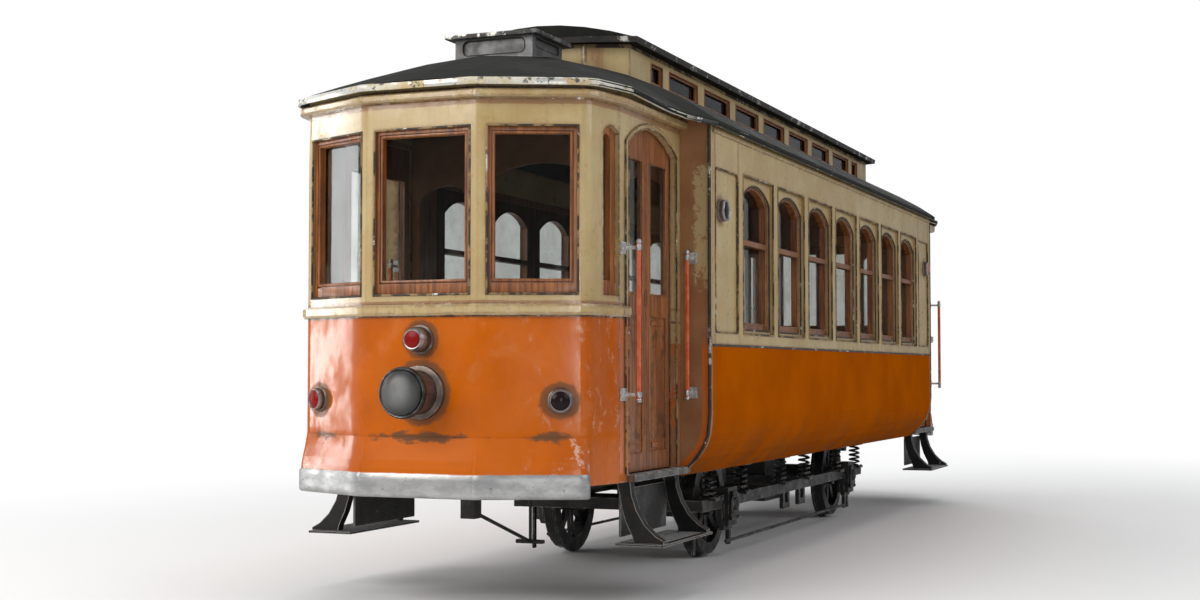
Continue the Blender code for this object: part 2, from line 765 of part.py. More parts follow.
def make_platform_floors():
    """The platform slab with its thresholds, and the life guard's hanger and rods under it."""
    threshold_y = DOOR_FRONT_Y - SEAT_GAP
    slab_y = SALOON_END + SEAT_GAP
    outline = [(THRESHOLD_HALF, -slab_y), (THRESHOLD_HALF, -threshold_y)]
    outline += platform_plan(threshold_y - RUN_GAP, -PLATFORM_WALL - SEAT_GAP)
    outline += [(-THRESHOLD_HALF, -threshold_y), (-THRESHOLD_HALF, -slab_y)]
    slab = plate([outline], ON_FLOOR, PLATFORM_UNDER_Z, PLATFORM_FLOOR_Z)
    under = PLATFORM_UNDER_Z + BITE
    half = GUARD_BLOCK / 2
    fuse(slab, box((-half, -GUARD_FRONT - half, GUARD_BLOCK_Z), (half, -GUARD_FRONT + half, under)))
    joint = GUARD_ROD * 2
    bar = box((-GUARD_BLOCK, -GUARD_REAR - joint, GUARD_LOW_Z - joint),
              (GUARD_BLOCK, -GUARD_REAR + joint, GUARD_LOW_Z))
    post_y = -GUARD_REAR + BITE
    fuse(bar, rod([(BITE, post_y, GUARD_LOW_Z - GUARD_ROD), (BITE, post_y, under)], GUARD_ROD))
    fuse(bar, rod([(-BITE, -GUARD_FRONT, GUARD_BLOCK_Z + half), (-BITE, -GUARD_REAR, GUARD_LOW_Z - GUARD_ROD)],
                  GUARD_ROD))
    fuse(slab, bar)
    at_both_ends(slab, "platform_floor", "dark_iron")


def make_side_panels():
    end = SALOON_END - SEAT_GAP
    panel = plate([rocker_line(0.0) + rocker_line(LOWER_WALL)[::-1]], ON_END, -end, end)
    at_both_sides(panel, "side_panel", "orange_paint")


def window_centres():
    return [(i - (WINDOW_COUNT - 1) / 2) * WINDOW_PITCH for i in range(WINDOW_COUNT)]


def lamp_body(radius, proud, sunk):
    """A round lamp with a stepped rim, facing up its own axis from a little below zero."""
    return turned([(0, proud), (radius * LAMP_LENS_SHARE, proud), (radius, proud * LAMP_RIM_SHARE),
                   (radius, -sunk), (0, -sunk)], LAMP_STEPS)


def make_window_bands():
    end = SALOON_END - SEAT_GAP
    half_bay = (WINDOW_PITCH - POST_WIDTH) / 2
    band = box((BODY_HALF - UPPER_WALL, -end, BELT_Z), (BODY_HALF, end, WALL_TOP_Z))
    for centre in window_centres():
        cut(band, box((BODY_HALF - OVERRUN, centre - half_bay, SILL_Z),
                      (BODY_HALF + OVERRUN, centre + half_bay, BAY_TOP_Z)))
    face = BODY_HALF - BLANK_RECESS
    for sign in (-1, 1):
        near, far = sorted((sign * BLANK_BAY_INNER, sign * BLANK_BAY_OUTER))
        cut(band, box((face, near, SILL_Z), (BODY_HALF + OVERRUN, far, BLANK_BAY_TOP_Z)))
        lamp = lamp_body(SIDE_LAMP_RADIUS, SIDE_LAMP_PROUD, BLANK_RECESS)
        move(lamp, Matrix.Translation((face, sign * SIDE_LAMP_Y, SIDE_LAMP_Z))
             @ Matrix.Rotation(math.pi / 2, 4, "Y"))
        fuse(band, lamp)
    trim_under_roof(band)
    at_both_sides(band, "window_band", "cream_paint")


def make_linings():
    """The wooden lining behind the posts, with the arched sashes and their meeting rails."""
    outer = BODY_HALF - UPPER_WALL - SEAT_GAP
    end = SALOON_END - SEAT_GAP
    half_bay = (WINDOW_PITCH - POST_WIDTH) / 2
    outlines = [rectangle(-end, end, BELT_Z, BAY_TOP_Z + SASH_SIDE)]
    for centre in window_centres():
        left = centre - half_bay + SASH_SIDE
        right = centre + half_bay - SASH_SIDE
        rail_top = MEETING_RAIL_Z + MEETING_RAIL_HIGH
        outlines.append(rectangle(left, right, SILL_Z + SASH_BOTTOM, MEETING_RAIL_Z))
        outlines.append(arch_outline(left, right, rail_top, ARCH_SPRING_Z, ARCH_RISE))
    lining = plate(outlines, ON_SIDE, outer - LINING_THICK, outer)
    at_both_sides(lining, "sash_lining", "varnished_wood")
    glass_outer = outer - LINING_THICK - SEAT_GAP
    edge = (WINDOW_COUNT / 2) * WINDOW_PITCH
    glass = box((glass_outer - GLASS_THICK, -edge, SILL_Z), (glass_outer, edge, BAY_TOP_Z))
    at_both_sides(glass, "saloon_glass", "window_glass")


def grab_rail(x, y, plate_low, plate_high):
    """An upright bar on two arms, each from a wall plate; plate_low and plate_high are the plates' plan corners."""
    bar = rod([(x, y, RAIL_BOTTOM_Z - RAIL_RADIUS * 2), (x, y, RAIL_TOP_Z + RAIL_RADIUS * 2)], RAIL_RADIUS)
    for height in (RAIL_BOTTOM_Z, RAIL_TOP_Z):
        foot = ((plate_low[0] + plate_high[0]) / 2, (plate_low[1] + plate_high[1]) / 2, height)
        fuse(bar, box((*plate_low, height - RAIL_PLATE), (*plate_high, height + RAIL_PLATE)))
        fuse(bar, rod([foot, (x, y, height)], RAIL_ARM_RADIUS))
    return bar


def make_bulkhead_rails():
    """The grab rail on the bulkhead behind each doorway; the one ahead of it is part of the door surround."""
    face = -BULKHEAD_OUTER_Y - SEAT_GAP
    behind = grab_rail(REAR_RAIL_X, -REAR_RAIL_Y, (REAR_RAIL_X - RAIL_PLATE, face - RAIL_PLATE_THICK),
                       (REAR_RAIL_X + RAIL_PLATE, face))
    at_four_corners(behind, "bulkhead_rail", "rail_paint")


def make_bulkheads():
    """The wall between saloon and platform, full width, with a doorway and two windows."""
    ledge = PLATFORM_FLOOR_Z + SEAT_GAP
    right = [(BODY_HALF, BULKHEAD_TOP_Z), (BODY_HALF, BELT_Z)]
    right += [(BODY_HALF - inset, height) for inset, height in ROCKER_POINTS if height > ledge]
    right.append((rocker_half(ledge), ledge))
    outline = right + [(-x, z) for x, z in reversed(right)]
    windows = []
    for sign in (-1, 1):
        near, far = sorted((sign * BULKHEAD_WINDOW_INNER, sign * BULKHEAD_WINDOW_OUTER))
        windows.append(arch_outline(near, far, SILL_Z + SASH_BOTTOM, ARCH_SPRING_Z, ARCH_RISE))
    wall = plate([outline] + windows, ON_END, -BULKHEAD_OUTER_Y, -SALOON_END)
    doorway = arch_outline(-BULKHEAD_DOOR_HALF, BULKHEAD_DOOR_HALF, ledge - OVERRUN,
                           BULKHEAD_DOOR_TOP_Z - ARCH_RISE, ARCH_RISE)
    cut(wall, plate([doorway], ON_END, -BULKHEAD_OUTER_Y - OVERRUN, -SALOON_END + OVERRUN))
    trim_under_roof(wall)
    at_both_ends(wall, "bulkhead", "brown_paint")


def along(rear):
    return lambda out: platform_plan(rear, out)


def skirt_line(out):
    """The front, its facets and the first part of the round corners, where the skirt fades to its end."""
    first = len(SKIRT_END_SHARES)
    path = platform_plan(DOOR_FRONT_Y)[first + 1:-first - 1]
    aside = moved_out(path, 1)
    shares = list(SKIRT_END_SHARES) + [1] * (len(path) - 2 * first) + list(reversed(SKIRT_END_SHARES))
    line = []
    for (x, y), (far_x, far_y), share in zip(path, aside, shares):
        step = SEAT_GAP + (out - SEAT_GAP) * share
        line.append((x + (far_x - x) * step, y + (far_y - y) * step))
    return line


def make_dashes():
    wall = swept(along(SURROUND_FRONT), [(0, DASH_BOTTOM_Z), (0, DASH_TOP_Z),
                                         (-PLATFORM_WALL, DASH_TOP_Z), (-PLATFORM_WALL, DASH_BOTTOM_Z)])
    for x, z, radius, proud in DASH_LAMPS:
        lamp = lamp_body(radius, proud, PLATFORM_WALL / 2)
        on_facet = abs(x) > PLAN_FLAT_HALF
        angle = math.copysign(PLAN_FACET_ANGLE, x) if on_facet else 0
        back = (abs(x) - PLAN_FLAT_HALF) * math.tan(PLAN_FACET_ANGLE) if on_facet else 0
        move(lamp, Matrix.Translation((x, -PLAN_FRONT + back, z)) @ Matrix.Rotation(angle, 4, "Z")
             @ Matrix.Rotation(math.pi / 2, 4, "X"))
        fuse(wall, lamp)
    at_both_ends(wall, "dash", "orange_paint")


def make_headlights():
    profile = [(HEADLIGHT_RIM * across, HEADLIGHT_PROUD * out) for across, out in HEADLIGHT_SHARES]
    profile += [(profile[-1][0], SEAT_GAP), (0, SEAT_GAP)]
    drum = turned(profile, LAMP_STEPS)
    move(drum, Matrix.Translation((0, -PLAN_FRONT, HEADLIGHT_Z)) @ Matrix.Rotation(math.pi / 2, 4, "X"))
    at_both_ends(drum, "headlight", "lamp_metal")


def make_skirts():
    """The flared skirt below the dash's crease and the bumper bar along its foot, in one piece."""
    high = CREASE_Z - SKIRT_BOTTOM_Z
    profile = [(SEAT_GAP, BUMPER_BOTTOM_Z), (BUMPER_PROUD - BUMPER_EDGE, BUMPER_BOTTOM_Z),
               (BUMPER_PROUD, BUMPER_BOTTOM_Z + BUMPER_EDGE), (BUMPER_PROUD, SKIRT_BOTTOM_Z - BUMPER_EDGE)]
    profile += [(SKIRT_PROUD * out, SKIRT_BOTTOM_Z + high * up) for out, up in SKIRT_SHARES]
    profile += [(SKIRT_EDGE, CREASE_Z), (SEAT_GAP, CREASE_Z)]
    at_both_ends(swept(skirt_line, profile), "skirt", "orange_paint")


def platform_window_cutters(side, bottom, top):
    """Cutters for the three front windows and two side windows, each edge drawn in by the given margins."""
    low = PLATFORM_WINDOW_BOTTOM_Z + bottom
    high = PLATFORM_WINDOW_TOP_Z - top
    reach = PLAN_SIDE
    middle = PLAN_FLAT_HALF - MULLION_HALF - side
    cutters = [box((-middle, -PLAN_FRONT - OVERRUN, low), (middle, -PLAN_FRONT + FRONT_CUT_REACH, high))]
    for sign in (-1, 1):
        near = MULLION_HALF + side
        far = FACET_WINDOW_END - side
        pane = box((near, -OVERRUN, low), (far, FACET_CUT_REACH, high))
        move(pane, Matrix.Translation((PLAN_FLAT_HALF, -PLAN_FRONT, 0))
             @ Matrix.Rotation(PLAN_FACET_ANGLE, 4, "Z"))
        if sign < 0:
            move(pane, Matrix.Diagonal((-1, 1, 1, 1)))
        cutters.append(pane)
    outline = arch_outline(-SIDE_WINDOW_FRONT + side, -SIDE_WINDOW_REAR - side, low,
                           SIDE_WINDOW_SPRING_Z - top, SIDE_WINDOW_RISE)
    cutters.append(plate([outline], ON_SIDE, -reach - OVERRUN, reach + OVERRUN))
    return cutters


def cornice_profile(inner):
    """The moulding under the eave as (out, height) points, its back at the given distance."""
    edge = CORNICE_EDGE
    proud = CORNICE_PROUD
    return [(inner, CORNICE_BOTTOM_Z), (proud - edge, CORNICE_BOTTOM_Z), (proud, CORNICE_BOTTOM_Z + edge),
            (proud, CORNICE_TOP_Z - edge), (proud - edge, CORNICE_TOP_Z), (inner, CORNICE_TOP_Z + edge)]


def belt_profile():
    """The moulding over the dash as (out, height) points."""
    edge = BELT_MOULD_EDGE
    proud = BELT_MOULD_PROUD
    low = DASH_TOP_Z + SEAT_GAP
    return [(-edge, low + edge), (proud - edge, low + edge / 2), (proud, low + edge * 2),
            (proud, BELT_MOULD_TOP_Z - edge), (proud - edge, BELT_MOULD_TOP_Z), (-edge, BELT_MOULD_TOP_Z)]


def make_platform_bands():
    """The upper wall of the platform from door surround to door surround, with its cornice and belt moulding."""
    low = DASH_TOP_Z + SEAT_GAP
    band = swept(along(SURROUND_FRONT), [(0, low), *cornice_profile(0), (0, WALL_TOP_Z), (-PLATFORM_WALL, WALL_TOP_Z),
                                         (-PLATFORM_WALL, low)])
    trim_under_roof(band)
    cut(band, *platform_window_cutters(0, 0, 0))
    fuse(band, swept(along(SURROUND_FRONT + BITE), belt_profile()))
    at_both_ends(band, "platform_band", "cream_paint")


def arch_strip(left, right, bottom, spring, rise, start, width):
    """A strip round an arched opening, its inner edge moved out by start."""
    inner = arch_outline(left - start, right + start, bottom, spring, rise + start)
    start += width
    outer = arch_outline(left - start, right + start, bottom, spring, rise + start)
    return outer[1:] + [outer[0], inner[0]] + inner[:1:-1] + [inner[1]]


def make_door_surrounds():
    """The flat frame round a doorway, from the taper back to the bulkhead: front post, arched head and rear post,
    a raised lip round the opening, the cornice and belt moulding running on, and the front post's grab rail."""
    low = PLATFORM_FLOOR_Z + SEAT_GAP
    front, rear = -PLAN_STRAIGHT, -PLATFORM_REAR_Y
    head = arch_outline(-DOOR_FRONT_Y, -DOOR_REAR_Y, low, DOOR_SPRING_Z, DOOR_RISE)[:1:-1]
    outline = [(front, DASH_BOTTOM_Z), (-DOOR_FRONT_Y, DASH_BOTTOM_Z), *head, (-DOOR_REAR_Y, low), (rear, low),
               (rear, WALL_TOP_Z), (front, WALL_TOP_Z)]
    surround = plate([outline], ON_SIDE, WALL_INSIDE, PLAN_SIDE)
    for profile, end in ((cornice_profile(-BITE), rear), (belt_profile(), -DOOR_FRONT_Y - BITE)):
        fuse(surround, plate([[(PLAN_SIDE + out, z) for out, z in profile]], ON_END, front, end))
    strip = arch_strip(-DOOR_FRONT_Y, -DOOR_REAR_Y, low + BITE, DOOR_SPRING_Z, DOOR_RISE, BITE_TWO, LIP_WIDTH)
    fuse(surround, plate([strip], ON_SIDE, PLAN_SIDE - BITE_TWO, PLAN_SIDE + LIP_PROUD))
    wall = PLAN_SIDE - BITE_THREE
    fuse(surround, grab_rail(FRONT_RAIL_X, -FRONT_RAIL_Y, (wall, -FRONT_RAIL_Y - RAIL_PLATE),
                             (PLAN_SIDE + RAIL_PLATE_THICK, -FRONT_RAIL_Y + RAIL_PLATE)))
    trim_under_roof(surround)
    at_four_corners(surround, "door_surround", "cream_paint")


def make_platform_linings():
    """The wooden window frames of the platform, in one lining behind the posts, and the glass behind it."""
    out = -PLATFORM_WALL - SEAT_GAP
    inner = out - FRAME_THICK
    low = PLATFORM_WINDOW_BOTTOM_Z - FRAME_WIDTH
    high = PLATFORM_WINDOW_TOP_Z + FRAME_WIDTH
    lining = swept(along(LINING_REAR_Y), [(out, low), (out, high), (inner, high), (inner, low)])
    cut(lining, *platform_window_cutters(FRAME_WIDTH, FRAME_BOTTOM, FRAME_WIDTH))
    at_both_ends(lining, "platform_lining", "varnished_wood")
    out = inner - SEAT_GAP
    inner = out - GLASS_THICK
    glass = swept(along(LINING_REAR_Y), [(out, low), (out, high), (inner, high), (inner, low)])
    at_both_ends(glass, "platform_glass", "window_glass")


def make_roof():
    roof = roof_solid(lambda z: z, lambda z: z - ROOF_THICK)
    hole = plate([clerestory_plan(SEAT_GAP)], ON_FLOOR, BELOW_ROOF_Z, ABOVE_ALL_Z)
    cut(roof, hole)
    named(roof, "main_roof", "roof_canvas")


def make_clerestory():
    ring = plate([clerestory_plan(0), clerestory_plan(-CLERESTORY_WALL)], ON_FLOOR,
                 CLERESTORY_BOTTOM_Z, CLERESTORY_TOP_Z)
    reach = CLERESTORY_HALF + OVERRUN
    half = CLERESTORY_WINDOW_WIDTH / 2
    for centre in [(i - (WINDOW_COUNT - 1) / 2) * CLERESTORY_WINDOW_PITCH for i in range(WINDOW_COUNT)]:
        cut(ring, box((-reach, centre - half, CLERESTORY_WINDOW_BOTTOM_Z),
                      (reach, centre + half, CLERESTORY_WINDOW_TOP_Z)))
    first = (WINDOW_COUNT / 2) * CLERESTORY_WINDOW_PITCH + CLERESTORY_WALL * 2
    for sign in (-1, 1):
        near, far = sorted((sign * first, sign * (first + CLERESTORY_END_WINDOW_WIDTH)))
        cut(ring, box((-reach, near, CLERESTORY_WINDOW_BOTTOM_Z), (reach, far, CLERESTORY_WINDOW_TOP_Z)))
        share = PIPE_X / CLERESTORY_HALF
        bow = CLERESTORY_END + CLERESTORY_BOW * (1 - share * share)
        pipe_x = -sign * PIPE_X
        fuse(ring, rod([(pipe_x, sign * bow, CROWN_Z - RUN_GAP),
                        (pipe_x, sign * bow, CLERESTORY_TOP_Z - BITE)], PIPE_RADIUS))
    named(ring, "clerestory", "cream_paint")
    inner = CLERESTORY_HALF - CLERESTORY_WALL - SEAT_GAP
    end = CLERESTORY_END - CLERESTORY_WALL
    glass = box((inner - GLASS_THICK, -end, CLERESTORY_WINDOW_BOTTOM_Z - CLERESTORY_WALL),
                (inner, end, CLERESTORY_WINDOW_TOP_Z + CLERESTORY_WALL))
    at_both_sides(glass, "clerestory_glass", "window_glass")


def make_clerestory_roof():
    """A cambered lid over the clerestory, bowed at its ends."""
    half = CLERESTORY_HALF + CLERESTORY_EAVE
    low = CLERESTORY_TOP_Z + SEAT_GAP
    radius = (half * half + CLERESTORY_CROWN * CLERESTORY_CROWN) / (2 * CLERESTORY_CROWN)
    sweep = math.asin(half / radius)
    centre = low + ROOF_THICK + CLERESTORY_CROWN - radius
    outline = [(-half, low), (half, low)]
    for i in range(ARC_STEPS + 1):
        angle = sweep - 2 * sweep * i / ARC_STEPS
        outline.append((radius * math.sin(angle), centre + radius * math.cos(angle)))
    reach = CLERESTORY_END + CLERESTORY_BOW + CLERESTORY_EAVE + OVERRUN
    lid = plate([outline], ON_END, -reach, reach)
    trim = plate([clerestory_plan(CLERESTORY_EAVE)], ON_FLOOR, low - OVERRUN, ABOVE_ALL_Z)
    combine(lid, trim, "INTERSECT")
    named(lid, "clerestory_roof", "roof_canvas")


def make_sign_boxes():
    body = box((-SIGN_HALF, -SIGN_FRONT, BELOW_ROOF_Z + OVERRUN), (SIGN_HALF, -SIGN_REAR, SIGN_TOP_Z))
    trim_over_roof(body)
    over = SIGN_LID_OVERHANG
    lid = box((-SIGN_HALF - over, -SIGN_FRONT - over, SIGN_TOP_Z - SIGN_LID_THICK),
              (SIGN_HALF + over, -SIGN_REAR + over, SIGN_TOP_Z))
    fuse(body, lid)
    margin = SIGN_PANEL_MARGIN
    wide = rounded(-SIGN_HALF + margin, SIGN_HALF - margin, SIGN_PANEL_BOTTOM_Z, SIGN_PANEL_TOP_Z,
                   SIGN_PANEL_CORNER)
    depth = SIGN_PANEL_DEPTH
    cut(body, plate([wide], ON_END, -SIGN_FRONT - OVERRUN, -SIGN_FRONT + depth))
    low = SIGN_SIDE_PANEL_BOTTOM_Z
    short = rounded(-SIGN_FRONT + margin, -SIGN_REAR - margin, low, SIGN_PANEL_TOP_Z, SIGN_PANEL_CORNER / 2)
    cut(body, plate([short], ON_SIDE, SIGN_HALF - depth, SIGN_HALF + OVERRUN))
    cut(body, plate([short], ON_SIDE, -SIGN_HALF - OVERRUN, -SIGN_HALF + depth))
    at_both_ends(body, "sign_box", "grey_metal")


def make_wheelsets():
    """Two spoked wheels on one axle, drawn about Z and laid along X."""
    scale = 1 / math.cos(math.pi / WHEEL_STEPS)
    flange = FLANGE_RADIUS * scale
    tread = TREAD_RADIUS * scale
    throat = WHEEL_INNER_X + FLANGE_WIDTH
    parts = []
    for sign in (-1, 1):
        rim = turned([(RIM_INNER_RADIUS, WHEEL_OUTER_X), (tread, WHEEL_OUTER_X), (tread, throat),
                      (flange, throat - FLANGE_WIDTH / 3), (flange, WHEEL_INNER_X),
                      (RIM_INNER_RADIUS, WHEEL_INNER_X)], WHEEL_STEPS, closed=True)
        hub = turned([(0, WHEEL_OUTER_X + HUB_PROUD), (HUB_RADIUS, WHEEL_OUTER_X + HUB_PROUD),
                      (HUB_RADIUS, WHEEL_INNER_X - HUB_PROUD), (0, WHEEL_INNER_X - HUB_PROUD)],
                     JOURNAL_STEPS)
        middle = (WHEEL_INNER_X + WHEEL_OUTER_X) / 2
        for i in range(SPOKE_COUNT):
            spoke = box((HUB_RADIUS / 2, -SPOKE_WIDTH / 2, middle - SPOKE_THICK / 2),
                        (RIM_INNER_RADIUS + SPOKE_BITE, SPOKE_WIDTH / 2, middle + SPOKE_THICK / 2))
            fuse(hub, move(spoke, Matrix.Rotation(FULL_TURN * i / SPOKE_COUNT, 4, "Z")))
        fuse(rim, hub)
        if sign < 0:
            move(rim, Matrix.Rotation(math.pi, 4, "X"))
        parts.append(rim)
    axle = turned([(0, JOURNAL_END_X), (JOURNAL_RADIUS, JOURNAL_END_X), (JOURNAL_RADIUS, BOX_INNER_X - RUN_GAP),
                   (AXLE_RADIUS, BOX_INNER_X - RUN_GAP * 2), (AXLE_RADIUS, -BOX_INNER_X + RUN_GAP * 2),
                   (JOURNAL_RADIUS, -BOX_INNER_X + RUN_GAP), (JOURNAL_RADIUS, -JOURNAL_END_X),
                   (0, -JOURNAL_END_X)], JOURNAL_STEPS)
    fuse(axle, *parts)
    half_step = math.pi / WHEEL_STEPS
    move(axle, Matrix.Translation((0, -AXLE_Y, AXLE_Z)) @ Matrix.Rotation(math.pi / 2, 4, "Y")
         @ Matrix.Rotation(half_step, 4, "Z"))
    at_both_ends(axle, "wheelset", "dark_iron")


def coil(x, y, low, high):
    count = int(SPRING_TURNS * SPRING_TURN_STEPS)
    points = []
    for i in range(count + 1):
        share = i / count
        angle = FULL_TURN * SPRING_TURNS * share
        points.append((x + SPRING_RADIUS * math.cos(angle), y + SPRING_RADIUS * math.sin(angle),
                       low + (high - low) * share))
    return rod(points, SPRING_WIRE, resolution=0)


def make_truck():
    """Outside side frames with axle boxes, coil springs up to the sole bars and transoms between them."""
    x_low, x_high = FRAME_X - FRAME_PLATE / 2, FRAME_X + FRAME_PLATE / 2
    side = box((x_low, -FRAME_END_Y, FRAME_BOTTOM_Z), (x_high, FRAME_END_Y, FRAME_TOP_Z))
    for axle in (-AXLE_Y, AXLE_Y):
        outline = [(axle + PEDESTAL_HALF * across, PEDESTAL_BOTTOM_Z + PEDESTAL_HIGH * up)
                   for across, up in PEDESTAL_SHARES]
        fuse(side, plate([outline], ON_SIDE, x_low - PEDESTAL_PROUD, x_high + PEDESTAL_PROUD))
    seat = FRAME_TOP_Z - SPRING_PAD / 2
    top = SOLE_BAR_BOTTOM_Z - SEAT_GAP
    spring_places = [axle + shift for axle in (-AXLE_Y, AXLE_Y) for shift in (-SPRING_OFFSET, SPRING_OFFSET)]
    spring_places += [-SPRING_OFFSET, SPRING_OFFSET]
    for y in spring_places:
        for low in (seat, top - SPRING_PAD):
            fuse(side, box((FRAME_X - SPRING_PAD_HALF, y - SPRING_PAD_HALF, low),
                           (FRAME_X + SPRING_PAD_HALF, y + SPRING_PAD_HALF, low + SPRING_PAD)))
        fuse(side, coil(FRAME_X, y, seat + SPRING_PAD - SPRING_WIRE / 2, top - SPRING_PAD + SPRING_WIRE / 2))
    for axle in (-AXLE_Y, AXLE_Y):
        fuse(side, box((BOX_INNER_X, axle - BOX_HALF, BOX_BOTTOM_Z), (BOX_OUTER_X, axle + BOX_HALF, BOX_TOP_Z)))
        radius = (JOURNAL_RADIUS + JOURNAL_CLEARANCE) / math.cos(math.pi / JOURNAL_STEPS)
        bore = turned([(0, OVERRUN + SEAT_GAP), (radius, OVERRUN + SEAT_GAP), (radius, -OVERRUN),
                       (0, -OVERRUN)], JOURNAL_STEPS)
        depth = JOURNAL_END_X - OVERRUN
        move(bore, Matrix.Translation((depth, axle, AXLE_Z)) @ Matrix.Rotation(math.pi / 2, 4, "Y"))
        cut(side, bore)
    rod_y = AXLE_Y - PEDESTAL_HALF / 2
    fuse(side, rod([(FRAME_X, -AXLE_Y, TIE_ROD_Z), (FRAME_X, AXLE_Y, TIE_ROD_Z)], TIE_ROD_RADIUS))
    for sign in (-1, 1):
        near, far = sorted((sign * rod_y, sign * (rod_y + TIE_ROD_RADIUS * 3)))
        fuse(side, box((x_low + BITE, near + BITE, TIE_ROD_Z - TIE_ROD_RADIUS * 2),
                       (x_high - BITE, far, PEDESTAL_BOTTOM_Z + BITE_THREE)))
    for sign in (-1, 1):
        near, far = sorted((sign * HANGER_NEAR, sign * HANGER_FAR))
        for y in (near, far):
            fuse(side, box((x_low + BITE, y - HANGER_HALF, HANGER_BOTTOM_Z),
                           (x_high - BITE, y + HANGER_HALF, FRAME_BOTTOM_Z + BITE)))
        fuse(side, box((x_low + BITE_TWO, near, HANGER_BOTTOM_Z + BITE),
                       (x_high - BITE_TWO, far, HANGER_BOTTOM_Z + HANGER_HALF * 2)))
        guard_y = sign * (AXLE_Y + FLANGE_RADIUS + GUARD_IRON_GAP)
        fuse(side, box((GUARD_IRON_X, guard_y - HANGER_HALF, FRAME_BOTTOM_Z + BITE_TWO),
                       (x_low + BITE_TWO, guard_y + HANGER_HALF, FRAME_TOP_Z - BITE_TWO)))
        fuse(side, box((GUARD_IRON_X - BITE, guard_y - HANGER_HALF + BITE, GUARD_IRON_BOTTOM_Z),
                       (GUARD_IRON_X + GUARD_IRON_THICK, guard_y + HANGER_HALF - BITE, FRAME_TOP_Z - BITE_THREE)))
    other = mirrored(side, -1, 1)
    fuse(side, other)
    end = FRAME_END_Y - TRANSOM_HALF - BITE
    for y in (-end, -TRANSOM_Y, TRANSOM_Y, end):
        fuse(side, box((-FRAME_X, y - TRANSOM_HALF, FRAME_BOTTOM_Z + BITE),
                       (FRAME_X, y + TRANSOM_HALF, FRAME_TOP_Z - BITE)))
    start = TRANSOM_Y + TRANSOM_HALF - BITE_TWO
    for sign in (-1, 1):
        near, far = sorted((sign * start, sign * (start + MOTOR_LENGTH)))
        fuse(side, box((-MOTOR_HALF, near, MOTOR_BOTTOM_Z), (MOTOR_HALF, far, MOTOR_TOP_Z)))
    named(side, "truck_frame", "dark_iron")


def make_steps():
    top = PLATFORM_UNDER_Z - SEAT_GAP
    depth = STEP_OUTER - STEP_INNER
    high = top - STEP_TREAD_Z
    outline = [(STEP_INNER + depth * out, STEP_TREAD_Z + high * up) for out, up in BRACKET_SHARES]
    tread = box((STEP_INNER, -STEP_FRONT, STEP_TREAD_Z - STEP_TREAD_THICK), (STEP_OUTER, -STEP_REAR, STEP_TREAD_Z))
    for y in (STEP_BRACKET_FRONT, STEP_BRACKET_REAR):
        fuse(tread, plate([outline], ON_END, -y - STEP_BRACKET_WIDTH / 2, -y + STEP_BRACKET_WIDTH / 2))
    riser_x = STEP_INNER + BITE_TWO
    fuse(tread, box((riser_x, -STEP_BRACKET_FRONT, RISER_BOTTOM_Z),
                    (riser_x + RISER_THICK, -STEP_BRACKET_REAR, top - OVERRUN)))
    at_four_corners(tread, "step", "black_cast")


def door_leaf(rear, front):
    """A leaf between two distances along the car, with its glass opening and two sunk panels."""
    outlines = [rectangle(-front, -rear, LEAF_BOTTOM_Z, LEAF_TOP_Z),
                rectangle(-front + LEAF_STILE, -rear - LEAF_STILE, LEAF_GLASS_BOTTOM_Z, LEAF_GLASS_TOP_Z)]
    leaf = plate(outlines, ON_SIDE, LEAF_INNER_X, LEAF_OUTER_X)
    for low, high in ((LEAF_INNER_X - OVERRUN, LEAF_INNER_X + LEAF_PANEL_DEPTH),
                      (LEAF_OUTER_X - LEAF_PANEL_DEPTH, LEAF_OUTER_X + OVERRUN)):
        cut(leaf, box((low, -front + LEAF_STILE, LEAF_PANEL_BOTTOM_Z),
                      (high, -rear - LEAF_STILE, LEAF_PANEL_TOP_Z)))
    return leaf


def make_doors():
    """Two leaves a doorway: the rear one turns on the rear door post, the front one on the rear one."""
    axis_y = DOOR_REAR_Y + JAMB_GAP
    middle = axis_y + LEAF_LENGTH
    rear_leaf = door_leaf(axis_y, middle)
    pivot = turned([(0, LEAF_BOTTOM_Z + OVERRUN), (PIVOT_RADIUS, LEAF_BOTTOM_Z + OVERRUN),
                    (PIVOT_RADIUS, PLATFORM_FLOOR_Z + SEAT_GAP), (0, PLATFORM_FLOOR_Z + SEAT_GAP)], PIVOT_STEPS)
    move(pivot, Matrix.Translation((LEAF_INNER_X, -axis_y, 0)))
    fuse(rear_leaf, pivot)
    at_four_corners(rear_leaf, "door_leaf_hung", "varnished_wood")
    front_leaf = door_leaf(middle + LEAF_GAP, middle + LEAF_GAP + LEAF_LENGTH)
    knuckle_x = LEAF_OUTER_X + KNUCKLE_OUT
    knuckle_y = middle + LEAF_GAP / 2
    for height in KNUCKLE_HEIGHTS:
        barrel = turned([(0, KNUCKLE_LENGTH), (KNUCKLE_RADIUS, KNUCKLE_LENGTH), (KNUCKLE_RADIUS, 0), (0, 0)],
                        PIVOT_STEPS)
        fuse(barrel, box((-KNUCKLE_OUT - BITE, -KNUCKLE_STRAP, BITE), (-BITE / 2, 0, KNUCKLE_LENGTH - BITE)))
        move(barrel, Matrix.Translation((knuckle_x, -knuckle_y, height)))
        fuse(front_leaf, barrel)
    at_four_corners(front_leaf, "door_leaf_folding", "varnished_wood")


